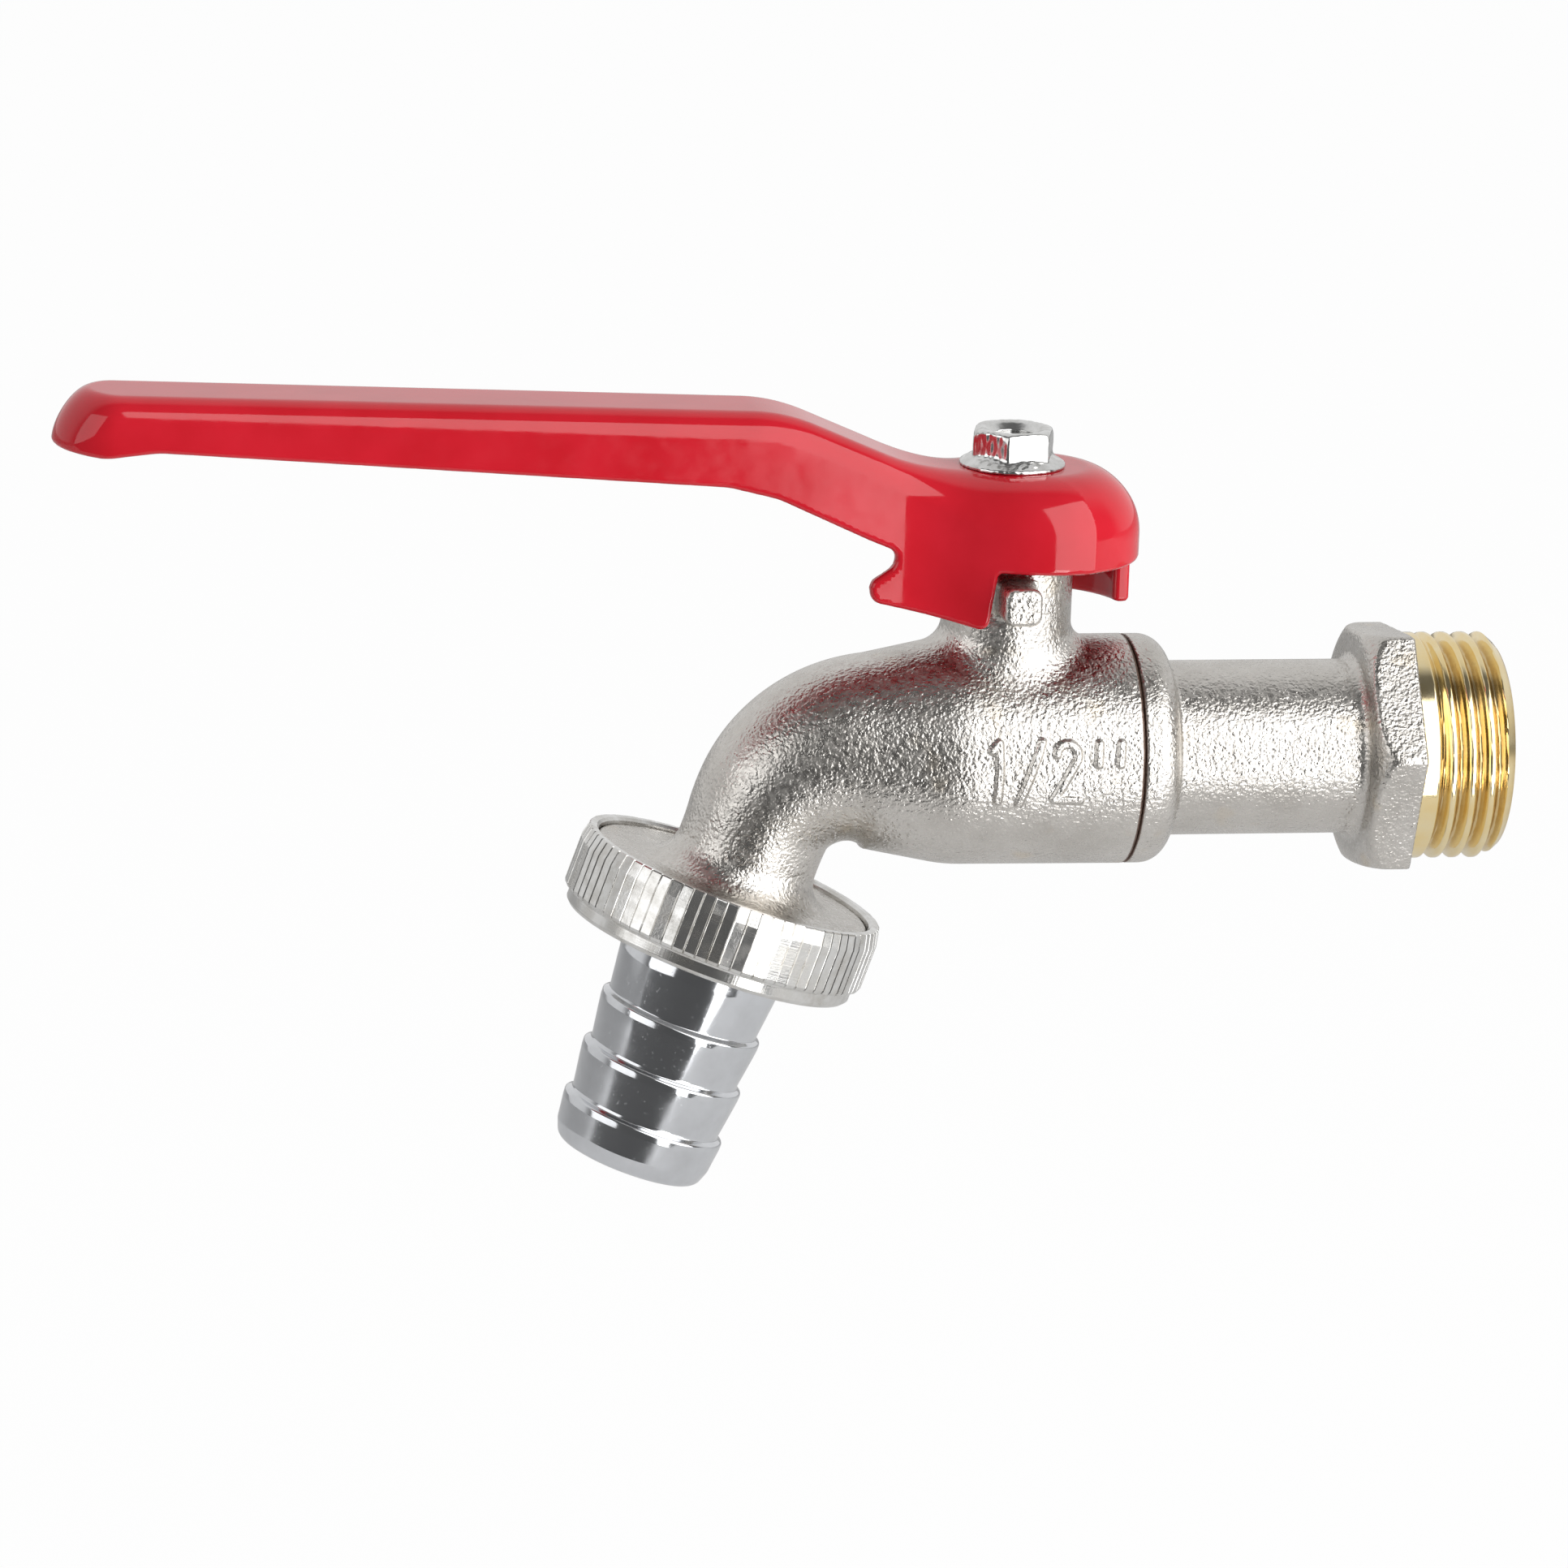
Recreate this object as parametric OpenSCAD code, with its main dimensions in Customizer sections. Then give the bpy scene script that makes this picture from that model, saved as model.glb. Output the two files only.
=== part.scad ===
// Ball bib tap for a garden hose: forged body, pressed lever, union nut and hose tail.
// The origin is the centre of the inlet shoulder, where the inlet thread begins.
// +X points out of the inlet towards the wall, and +Z points up along the stem.

/* [Inlet piece] */
// Major diameter of the inlet thread
thread_d = 20.955; // [20.8:0.005:21.1]
// Length of the inlet thread
thread_len = 8.9; // [7:0.1:14]
// Length of the chamfer at the end of the inlet thread
thread_lead = 1.1; // [0.6:0.1:2]
// Hexagon across flats
hex_af = 21.6; // [21.2:0.1:24]
// Length of the hexagon with its round back
hex_len = 4.8; // [4.3:0.1:8]
// Radius of the hexagon's round back
hex_round = 3; // [1.5:0.1:3.2]
// Angle by which the cast hexagon is turned about the inlet axis
hex_turn = 6.7; // [0:0.1:30]
// Outer radius of the inlet pipe
pipe_r = 8.05; // [7.6:0.05:8.8]
// Radius of the water way through the inlet piece
inlet_bore_r = 5.6; // [4.8:0.1:6.2]
// Distance from the stem axis to the inlet shoulder
inlet_reach = 37.5; // [32:0.5:55]
// Length of the collar that closes the ball chamber
collar_len = 3.8; // [3:0.1:5]
// Rounding of the collar's outer edge
collar_round = 2.4; // [1:0.1:2.5]
// Radius of the spigot that screws into the chamber
spigot_r = 9.3; // [9.1:0.05:9.5]
// Depth of the spigot in the chamber
spigot_len = 5.1; // [4:0.1:5.6]

/* [Ball chamber] */
// Outer radius of the chamber at the seam
chamber_r = 10.6; // [10.4:0.1:11.4]
// Outer radius of the chamber where the spout begins
chamber_back_r = 10.5; // [10.2:0.05:11.2]
// Distance from the stem axis to the seam with the inlet piece
chamber_front = 11.35; // [10.8:0.05:12.5]
// Distance from the stem axis to the start of the spout
chamber_back = 5.5; // [4:0.1:7]
// Radius of the machined chamber
cavity_r = 8.5; // [8.3:0.1:8.8]
// Radius of the ball
ball_r = 8; // [7.8:0.05:8.2]
// Radius of the hole through the ball
port_r = 4.75; // [4:0.05:5]
// Distance from the stem axis to the back of each seat ring
seat_back = 9; // [8.7:0.05:9.3]
// Distance from the stem axis to the front of each seat ring
seat_front = 5.4; // [5.2:0.05:5.8]
// Inner radius of the seat rings
seat_bore_r = 5; // [4.8:0.05:5.3]
// Gap between the ball and its seats
ball_gap = 0.08; // [0.05:0.01:0.2]

/* [Spout] */
// Distance from the stem axis to the crossing of the body and outlet axes
spout_reach = 20.45; // [19.5:0.05:26]
// Drop from the body axis to the rim of the union nut
outlet_drop = 11.6; // [11:0.1:18]
// Lean of the outlet axis from upright
outlet_tilt = 18.8; // [5:0.1:25]
// Radius of the spout's bend
bend_r = 10; // [8.5:0.1:11]
// Outer radius at the thin end of the spout
spout_end_r = 6.6; // [6.1:0.05:7]
// Radius of the water way through the spout
passage_r = 4.6; // [4:0.1:4.8]

/* [Neck and stop lug] */
// Outer radius of the neck
neck_r = 5.96; // [5.7:0.02:6.3]
// Height of the neck above the body axis
neck_top = 19.6; // [19:0.1:21]
// Fillet between the neck and the chamber
neck_fillet = 2.4; // [1.5:0.1:3]
// Width and height of the stop lug
lug_size = 3.45; // [3:0.05:3.8]
// Height of the lug's centre above the body axis
lug_z = 15.75; // [15.3:0.05:16]
// Distance from the stem axis to the lug's face
lug_reach = 10.8; // [10.6:0.05:11.2]
// Offset of the lug's centre from the stem axis
lug_offset = 0.65; // [0.4:0.05:0.9]

/* [Stem] */
// Radius of the stem in the neck
stem_r = 3.95; // [3.7:0.05:4.2]
// Running clearance round the stem
stem_fit = 0.05; // [0.02:0.01:0.1]
// Radius of the collar that keeps the stem in
stem_collar_r = 4.9; // [4.7:0.05:5]
// Thickness of the stem's collar
stem_collar_t = 1.2; // [0.9:0.05:1.4]
// Thickness of the thrust washer
thrust_t = 0.7; // [0.4:0.05:0.9]
// Height of the thrust washer's top above the body axis
thrust_top = 10.4; // [10.3:0.05:10.6]
// Thickness of the blade that turns the ball
blade_t = 3.4; // [3:0.05:3.8]
// Section diameter of the two sealing rings
ring_d = 1; // [0.8:0.05:1.2]
// Height of the lower sealing ring
ring_low_z = 13; // [12.5:0.1:14]
// Height of the upper sealing ring
ring_high_z = 16.6; // [16:0.1:17.5]
// Across flats of the square that carries the lever
square_af = 5; // [4.6:0.1:5.4]
// Diameter of the threaded end
stud_d = 4; // [3.8:0.1:4.4]

/* [Lever] */
// Height of the top of the lever's head above the body axis
lever_top = 26.8; // [26.2:0.1:28]
// Thickness of the pressed sheet
sheet_t = 1.5; // [1.2:0.1:1.8]
// Distance from the stem axis to the tip of the grip
lever_len = 88.1; // [70:0.1:110]
// Half width of the grip
grip_half = 5.4; // [5:0.1:6.5]
// Radius of the grip's top edges
grip_edge = 2.3; // [1.9:0.1:3]
// Radius of the top edge round the tip
tip_edge = 4.8; // [3:0.1:5]
// Radius of the round head
head_r = 9.35; // [9.2:0.05:10]
// Offset of the head's centre from the stem axis
head_offset = 2.6; // [2.2:0.1:3]
// Radius of the top edge round the head
head_edge = 4.6; // [2.5:0.1:5]
// Height by which the grip starts above the head
grip_step = 5.55; // [4:0.05:7]
// Rise of the grip for each millimetre of its length
grip_slope = 0.0302; // [0:0.001:0.06]
// Depth of the head's skirt
skirt = 8.4; // [8.2:0.1:9]
// Depth of the stop tabs below the top of the head
tab_depth = 13.3; // [13:0.1:13.5]
// Clearance between the stop tabs and the lug
stop_gap = 0.15; // [0.1:0.05:0.4]

/* [Lever nut] */
// Across flats of the lever nut
lever_nut_af = 7; // [6.5:0.1:8]
// Height of the lever nut
lever_nut_h = 3.5; // [3.2:0.1:5]
// Radius of the nut's flange
lever_nut_flange_r = 4.85; // [4.6:0.05:5.5]

/* [Union] */
// Major diameter of the outlet thread
union_d = 26.441; // [26.3:0.001:26.6]
// Clearance between the union nut and the outlet thread
union_fit = 0.07; // [0.03:0.01:0.1]
// Height of the union nut
nut_h = 7.5; // [7.2:0.1:12]
// Wall of the union nut from the thread to the top of the knurl
nut_wall = 1.28; // [1.2:0.02:2.3]
// Number of flats in the knurl
knurl_count = 80; // [40:2:96]
// Height of the knurled band
knurl_h = 5.9; // [4.5:0.1:6.5]
// Depth by which the outlet stands below the nut's rim
outlet_sink = 0.5; // [0.2:0.1:1]
// Length of the outlet thread
outlet_len = 2.9; // [2.5:0.1:5]
// Thickness of the rubber washer
washer_t = 1.65; // [1.2:0.05:2]
// Thickness of the hose tail's flange
flange_t = 1.3; // [1:0.1:1.6]
// Gap left at each face that turns or lifts
face_gap = 0.05; // [0.02:0.01:0.1]

/* [Hose tail] */
// Radius over the ridges of the hose tail
ridge_r = 7.68; // [7.5:0.02:7.8]
// Radius in front of each ridge
valley_r = 7.15; // [6.9:0.05:7.3]
// Radius of the water way through the hose tail
tail_bore_r = 5.3; // [4.6:0.1:5.8]
// Distance from the nut's rim to the first ridge
first_ridge = 13.6; // [12.5:0.1:16]
// Spacing of the ridges
ridge_pitch = 5; // [4:0.1:7]
// Number of ridges
ridge_count = 3; // [2:1:5]
// Rounding of the hose tail's lower end
tail_round = 1.4; // [0.8:0.1:1.6]

/* [Hidden] */
nickel = [0.74, 0.72, 0.68];
chrome = [0.80, 0.81, 0.83];
brass = [0.80, 0.66, 0.36];
red_paint = [0.78, 0.13, 0.17];
zinc = [0.72, 0.73, 0.73];
white_seal = [0.93, 0.92, 0.88];
black_rubber = [0.10, 0.10, 0.10];
round_fn = 64;
cut = 0.5;
turn = 90 - outlet_tilt;
bend_start = spout_reach - bend_r * tan(turn / 2);
bend_begin_s = bend_start - chamber_back;
bend_arc = bend_r * turn * PI / 180;
taper_len = bend_begin_s + bend_arc;
rim_s = taper_len + outlet_drop / cos(outlet_tilt) - bend_r * tan(turn / 2);
outlet_end = outlet_sink + outlet_len;
washer_end = outlet_end + face_gap + washer_t;
flange_end = washer_end + flange_t;
lip_top = flange_end + face_gap;
outlet_r = union_d / 2 - union_fit;
nut_r = union_d / 2 + nut_wall;
lip_bore_r = ridge_r + 0.3;
tail_end = first_ridge + ridge_pitch * ridge_count;
lever_under = lever_top - sheet_t;
skirt_z = lever_top - skirt;
tab_z = lever_top - tab_depth;
lug_left = -lug_offset - lug_size / 2;
lug_right = -lug_offset + lug_size / 2;

// Everything is drawn about the crossing of the stem and body axes, then set in place
module at_valve() {
    translate([-inlet_reach, 0, 0]) children();
}

// The union's frame: the origin is the centre of the nut's rim, +Z points down the outlet
module at_outlet() {
    at_valve()
        translate([-spout_reach - outlet_drop * tan(outlet_tilt), 0, -outlet_drop])
            rotate([0, 180 + outlet_tilt, 0])
                children();
}

module along_x() {
    rotate([0, 90, 0]) children();
}

module disc(r, from, to) {
    translate([0, 0, from]) cylinder(r = r, h = to - from, $fn = round_fn);
}

// Skin over rings that each hold the same number of points, closed at both ends
module skin(rings) {
    n = len(rings[0]);
    m = len(rings);
    points = [for (ring = rings) for (p = ring) p];
    sides = [for (j = [0 : m - 2]) for (i = [0 : n - 1])
        let (a = j * n + i, b = j * n + (i + 1) % n)
        each [[a, b, b + n], [a, b + n, a + n]]];
    start = [for (i = [n - 1 : -1 : 0]) i];
    finish = [for (i = [0 : n - 1]) (m - 1) * n + i];
    polyhedron(points = points, faces = concat([start], sides, [finish]), convexity = 6);
}

// Rings of the spout and its water way at a distance s along the axis of the bend
function spout_radius(s) =
    chamber_back_r + (spout_end_r - chamber_back_r) * min(1, abs(s) / taper_len);
function spout_angle(s) = min(turn, max(0, s - bend_begin_s) / bend_r * 180 / PI);
function spout_centre(s) =
    let (a = spout_angle(s), over = max(0, s - taper_len), straight = min(s, bend_begin_s))
    [-chamber_back - straight - bend_r * sin(a) - over * cos(turn),
     -bend_r * (1 - cos(a)) - over * sin(turn)];
function spout_ring(s, r, sides) =
    let (c = spout_centre(s), a = spout_angle(s))
    [for (i = [0 : sides - 1])
        let (q = -i * 360 / sides, u = r * cos(q))
        [c[0] - u * sin(a), r * sin(q), c[1] + u * cos(a)]];

function bend_stations(count) = [for (k = [0 : count]) bend_begin_s + bend_arc * k / count];

module spout_outside() {
    stations = concat([0.4, bend_begin_s / 2], bend_stations(12), [rim_s - 0.8]);
    skin(concat([spout_ring(-1.2, chamber_back_r - 0.7, 48)],
                [for (s = stations) spout_ring(s, spout_radius(s), 48)]));
}

// Water way: level out of the chamber, round the bend and down the outlet axis
module water_way() {
    along_x() disc(passage_r, -bend_start, 0);
    translate([-bend_start, 0, -bend_r])
        rotate([90, 0, 0])
            rotate([0, 0, 90])
                rotate_extrude(angle = turn, $fn = 2 * round_fn)
                    translate([bend_r, 0]) circle(r = passage_r, $fn = round_fn);
}

// Fillet that runs round the neck and follows the round chamber
function chamber_height(r, q) = sqrt(pow(chamber_back_r, 2) - pow(r * sin(q), 2));
function fillet_point(t, q) =
    let (r0 = neck_r, r2 = neck_r + neck_fillet,
         z1 = chamber_height(r0, q), z0 = z1 + neck_fillet * 0.9, z2 = chamber_height(r2, q) - 0.4,
         r = pow(1 - t, 2) * r0 + 2 * t * (1 - t) * r0 + t * t * r2,
         z = pow(1 - t, 2) * z0 + 2 * t * (1 - t) * z1 + t * t * z2)
    [r * cos(q), r * sin(q), z];

module neck_blend() {
    sides = 48;
    angles = [for (i = [0 : sides - 1]) i * 360 / sides];
    foot = [for (q = angles) [(neck_r + neck_fillet) * cos(q), (neck_r + neck_fillet) * sin(q), 3]];
    curved = [for (t = [1 : -0.2 : 0.1]) [for (q = angles) fillet_point(t, q)]];
    crown = [for (q = angles) [(neck_r - 0.5) * cos(q), (neck_r - 0.5) * sin(q), neck_top - 5.5]];
    skin(concat([foot], curved, [crown]));
}

module stop_lug() {
    round_r = 0.9;
    translate([-lug_offset, 0, lug_z])
        rotate([90, 0, 0])
            linear_extrude(height = lug_reach)
                offset(r = round_r, $fn = 24)
                    square(lug_size - 2 * round_r, center = true);
}

// The outlet boss with its thread drawn at the crests, and the cone that carries it
module outlet_boss() {
    fillet = 2.6;
    cone_r = spout_end_r + fillet;
    cone_z = -0.25;
    arc = [for (a = [0 : 14 : 70])
        [cone_r - fillet * sin(a), cone_z - fillet * (1 - cos(a))]];
    rotate_extrude($fn = round_fn)
        polygon(concat([[0, outlet_end], [outlet_r - 0.5, outlet_end], [outlet_r, outlet_end - 0.5],
                        [outlet_r, outlet_sink + 0.3], [outlet_r - 0.3, outlet_sink]],
                       arc, [[spout_end_r - 0.8, cone_z - 1.8 * fillet], [0, cone_z - 1.8 * fillet]]));
}

module valve_body() {
    color(nickel) difference() {
        union() {
            at_valve() {
                along_x() translate([0, 0, -chamber_back])
                    cylinder(r1 = chamber_back_r, r2 = chamber_r, h = chamber_back + chamber_front,
                             $fn = round_fn);
                spout_outside();
                neck_blend();
                disc(neck_r, 0, neck_top);
                stop_lug();
            }
            at_outlet() outlet_boss();
        }
        at_valve() {
            along_x() {
                disc(cavity_r, -seat_back, chamber_front + cut);
                disc(spigot_r, chamber_front - spigot_len - 0.1, chamber_front + cut);
            }
            water_way();
            disc(stem_r + stem_fit, 0, neck_top + cut);
            disc(stem_collar_r + 2 * stem_fit, 0, thrust_top);
        }
        at_outlet() disc(passage_r, taper_len - rim_s, outlet_end + cut);
    }
}
module inlet_nipple() {
    spigot_fit = 0.02;
    fillet = 0.9;
    wall_z = inlet_reach - hex_len;
    hex_r = hex_af / 2 / cos(30);
    back_r = hex_r + 0.15 - hex_round;
    pipe_end = chamber_front + collar_len;
    collar_arc = [for (a = [90 : -15 : 0])
        [chamber_r - collar_round * (1 - sin(a)), pipe_end - collar_round * (1 - cos(a))]];
    fillet_arc = [for (a = [0 : 15 : 90])
        [pipe_r + fillet * (1 - cos(a)), wall_z - fillet * (1 - sin(a))]];
    back_arc = [for (a = [0 : 10 : 90])
        [back_r + hex_round * sin(a), wall_z + hex_round * (1 - cos(a))]];
    at_valve() along_x() difference() {
        union() {
            color(nickel) {
                rotate_extrude($fn = round_fn)
                    polygon(concat([[0, chamber_front], [chamber_r, chamber_front]], collar_arc,
                                   fillet_arc, [[0, wall_z]]));
                intersection() {
                    rotate_extrude($fn = round_fn)
                        polygon(concat([[0, wall_z - fillet / 2]], [[pipe_r, wall_z - fillet / 2]],
                                       back_arc,
                                       [[back_r + hex_round, inlet_reach], [0, inlet_reach]]));
                    translate([0, 0, wall_z - fillet]) rotate([0, 0, 90 - hex_turn])
                        cylinder(r = hex_r, h = hex_len + fillet, $fn = 6);
                }
            }
            color(brass) {
                disc(thread_d / 2, inlet_reach - cut, inlet_reach + thread_len - thread_lead);
                translate([0, 0, inlet_reach + thread_len - thread_lead])
                    cylinder(r1 = thread_d / 2, r2 = thread_d / 2 - thread_lead, h = thread_lead,
                             $fn = round_fn);
                disc(spigot_r - spigot_fit, chamber_front - spigot_len, chamber_front + cut);
            }
        }
        disc(inlet_bore_r, 0, inlet_reach + thread_len + cut);
        disc(ball_r + 0.02, 0, seat_back);
    }
}

// A ring with a face ground to the ball
module seat_ring(side) {
    color(white_seal) at_valve() along_x() difference() {
        disc(ball_r, side > 0 ? seat_front : -seat_back, side > 0 ? seat_back : -seat_front);
        disc(seat_bore_r, -seat_back - cut, seat_back + cut);
        sphere(r = ball_r + ball_gap, $fn = round_fn);
    }
}

module seat_ring_inlet() {
    seat_ring(1);
}

module seat_ring_outlet() {
    seat_ring(-1);
}

module ball() {
    slot_gap = 0.1;
    slot_floor = port_r + 1.2;
    color(chrome) at_valve() difference() {
        sphere(r = ball_r, $fn = round_fn);
        along_x() disc(port_r, -ball_r - cut, ball_r + cut);
        translate([-blade_t / 2 - slot_gap, -ball_r, slot_floor])
            cube([blade_t + 2 * slot_gap, 2 * ball_r, ball_r]);
    }
}

module ring_groove(z) {
    groove_w = ring_d * 1.6;
    difference() {
        disc(stem_r + cut, z - groove_w / 2, z + groove_w / 2);
        disc(stem_r - ring_d, z - groove_w, z + groove_w);
    }
}

module stem() {
    blade_floor = port_r + 1.3;
    collar_top = thrust_top - thrust_t - face_gap;
    collar_z = collar_top - stem_collar_t;
    stud_top = lever_top + lever_nut_h - 0.9;
    color(brass) at_valve() difference() {
        union() {
            intersection() {
                disc(stem_collar_r, blade_floor, collar_z + cut);
                translate([-blade_t / 2, -stem_collar_r, blade_floor])
                    cube([blade_t, 2 * stem_collar_r, ball_r]);
            }
            disc(stem_collar_r, collar_z, collar_top);
            disc(stem_r, collar_z, lever_under);
            translate([-square_af / 2, -square_af / 2, lever_under - cut])
                cube([square_af, square_af, sheet_t + cut - 0.1]);
            disc(stud_d / 2, lever_under, stud_top);
        }
        ring_groove(ring_low_z);
        ring_groove(ring_high_z);
    }
}

module thrust_washer() {
    color(white_seal) at_valve() difference() {
        disc(stem_collar_r, thrust_top - thrust_t, thrust_top);
        disc(stem_r + stem_fit, thrust_top - thrust_t - cut, thrust_top + cut);
    }
}

module stem_ring(z) {
    color(black_rubber) at_valve() translate([0, 0, z])
        rotate_extrude($fn = round_fn)
            translate([stem_r - ring_d / 2 + 0.01, 0])
                circle(r = ring_d / 2 - 0.01, $fn = 32);
}

module stem_ring_lower() {
    stem_ring(ring_low_z);
}

module stem_ring_upper() {
    stem_ring(ring_high_z);
}

// Lever: side view of the top face, from the level head up the step to the sloping grip
function ease(t) = t * t * (3 - 2 * t);
function clamp01(t) = min(1, max(0, t));
step_foot = -8;
step_len = 15;
function top_rise(x) =
    let (d = clamp01((step_foot - x) / step_len), k = 0.16,
         bent = d < k ? d * d / (2 * k) : d > 1 - k ? 1 - k - pow(1 - d, 2) / (2 * k) : d - k / 2)
    grip_step * bent / (1 - k) + grip_slope * max(0, step_foot - step_len / 2 - x);

// Lever: half width, with a round tip, a plain grip and a round head that flares from it
tip_round = grip_half;
flare_from = -14;
flare_to = -1.2;
function circle_half(x) = sqrt(max(0, pow(head_r, 2) - pow(x - head_offset, 2)));
function flare_half(x) =
    let (t = (x - flare_from) / (flare_to - flare_from), w1 = circle_half(flare_to),
         m1 = (head_offset - flare_to) / w1 * (flare_to - flare_from))
    grip_half * (1 - ease(t)) + w1 * ease(t) + (t * t * t - t * t) * m1;
function lever_half(x) =
    x > flare_to ? circle_half(x) : x > flare_from ? flare_half(x) : grip_half;
function edge_radius(x) =
    let (head = clamp01((x - flare_from) / (0 - flare_from)),
         tip = clamp01((6 - (x + lever_len)) / 6))
    grip_edge + (head_edge - grip_edge) * ease(head) + (tip_edge - grip_edge) * ease(tip);

// Lever: plan outline of one side, from the tip to the end of the head
outline = concat(
    [for (a = [0 : 10 : 80]) [-lever_len + tip_round * (1 - cos(a)), tip_round * sin(a)]],
    [for (x = [-lever_len + tip_round, -70, -50, -32]) [x, grip_half]],
    [for (x = [-25 : 1.5 : flare_from - 0.1]) [x, grip_half]],
    [for (x = [flare_from : 1.6 : flare_to - 0.1]) [x, lever_half(x)]],
    [for (a = [114 : -9 : 0]) [head_offset + head_r * cos(a), head_r * sin(a)]]);
function outline_normal(i) =
    let (n = len(outline), a = i == 0 ? [outline[1][0], -outline[1][1]] : outline[i - 1],
         b = i == n - 1 ? [outline[n - 2][0], -outline[n - 2][1]] : outline[i + 1], d = b - a)
    [d[1], -d[0]] / norm(d);

// One level of the shell: sheet is 0 outside and sheet_t inside, t runs over the edge
function level_point(i, sheet, t) =
    let (p = outline[i], n = outline_normal(i), r = max(0.3, edge_radius(p[0]) - sheet),
         q = p + n * (sheet + r * (1 - sin(t))), x = q[0])
    [x, max(0, q[1]), lever_top + top_rise(x) - sheet - r * (1 - cos(t))];
function whole_ring(half) =
    let (n = len(half))
    concat([for (p = half) [p[0], -p[1], p[2]]], [for (i = [n - 2 : -1 : 1]) half[i]]);
function lever_level(sheet, t) =
    whole_ring([for (i = [0 : len(outline) - 1]) level_point(i, sheet, t)]);
function lever_foot(sheet, z) =
    whole_ring([for (i = [0 : len(outline) - 1])
        let (p = level_point(i, sheet, 90)) [p[0], p[1], z]]);

module lever_solid(sheet, foot_z) {
    angles = [90 : -15 : 0];
    rings = concat([lever_foot(sheet, foot_z)], [for (t = angles) lever_level(sheet, t)]);
    n = len(rings[0]);
    m = len(rings);
    h = n / 2;
    last = (m - 1) * n;
    points = [for (ring = rings) for (p = ring) p];
    sides = [for (j = [0 : m - 2]) for (i = [0 : n - 1])
        let (a = j * n + i, b = j * n + (i + 1) % n)
        each [[a, b + n, b], [a, a + n, b + n]]];
    lid = [for (i = [1 : h - 2]) let (a = last + i, b = last + i + 1, c = last + n - i - 1, d = last + n - i)
        each [[a, c, b], [a, d, c]]];
    ends = [[last, last + n - 1, last + 1], [last + h - 1, last + h + 1, last + h]];
    polyhedron(points = points, faces = concat([[for (i = [0 : n - 1]) i]], sides, lid, ends),
               convexity = 10);
}

// Lever: side view of the lower edges, which the press tool trims
grip_edge_line = [[-lever_len - 2, 29.8], [-86.5, 29.35], [-83.5, 29], [-78, 29.25],
                  [-27.5, 25.9], [-24.3, 25.2], [-14.6, 21.1]];
hook_line = [[-11.6, 19.9], [-11.4, 18.5], [-13.9, 16.9], [-14.1, 15.2], [-4, tab_z - 0.4]];

module near_trim() {
    tab_edge = lug_left - stop_gap;
    offset(r = 0.35, $fn = 16) offset(r = -1, $fn = 24) offset(delta = 0.65)
        polygon(concat([[-lever_len - 2, lever_top + 20]], grip_edge_line, hook_line,
                       [[tab_edge - 0.6, tab_z - 0.4], [tab_edge, skirt_z],
                        [head_offset + head_r + 2, skirt_z],
                        [head_offset + head_r + 2, lever_top + 20]]));
}

module far_trim() {
    tab_from = -3;
    polygon(concat([[-lever_len - 2, lever_top + 20]], grip_edge_line,
                   [[-9, skirt_z], [tab_from, skirt_z], [tab_from + 2, tab_z],
                    [head_offset + head_r + 2, tab_z], [head_offset + head_r + 2, lever_top + 20]]));
}

module far_skirt_trim() {
    polygon(concat([[-lever_len - 2, lever_top + 20]], grip_edge_line,
                   [[-9, skirt_z], [head_offset + head_r + 2, skirt_z],
                    [head_offset + head_r + 2, lever_top + 20]]));
}

module side_cut(from, to) {
    translate([0, to, 0]) rotate([90, 0, 0]) linear_extrude(height = to - from) children();
}

module lever() {
    width = head_r + 2;
    tab_face = lug_right + stop_gap;
    hole = square_af + 0.1;
    color(red_paint) at_valve() difference() {
        intersection() {
            lever_solid(0, tab_z - 2);
            union() {
                side_cut(-width, 0) near_trim();
                side_cut(tab_face, width) far_trim();
                side_cut(-0.01, tab_face + 0.01) far_skirt_trim();
            }
        }
        lever_solid(sheet_t, tab_z - 3);
        translate([-hole / 2, -hole / 2, lever_under - 1]) cube([hole, hole, sheet_t + 2]);
    }
}

module lever_nut() {
    flange_edge = 0.35;
    flange_h = 0.95;
    corner_r = lever_nut_af / 2 / cos(30);
    nut_turn_deg = 12;
    color(zinc) at_valve() translate([0, 0, lever_top]) difference() {
        union() {
            disc(lever_nut_flange_r, 0, flange_edge);
            translate([0, 0, flange_edge])
                cylinder(r1 = lever_nut_flange_r, r2 = corner_r - 0.1, h = flange_h - flange_edge,
                         $fn = round_fn);
            intersection() {
                rotate([0, 0, nut_turn_deg]) cylinder(r = corner_r, h = lever_nut_h, $fn = 6);
                rotate_extrude($fn = round_fn)
                    polygon([[0, 0], [corner_r + 0.2, 0], [corner_r + 0.2, lever_nut_h - 0.75],
                             [lever_nut_af / 2 - 0.2, lever_nut_h], [0, lever_nut_h]]);
            }
        }
        disc(stud_d / 2 + 0.03, -cut, lever_nut_h + cut);
        translate([0, 0, lever_nut_h - 0.6])
            cylinder(r1 = stud_d / 2, r2 = stud_d / 2 + 0.7, h = 0.61, $fn = round_fn);
    }
}

// Flat-bottomed teeth of the straight knurl
module knurl_section(r) {
    step = 360 / knurl_count;
    polygon([for (i = [0 : knurl_count - 1]) for (k = [0, 1])
        let (rr = k == 0 ? r : r - 0.22, a = (i + 0.5 * k) * step) [rr * cos(a), rr * sin(a)]]);
}

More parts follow.
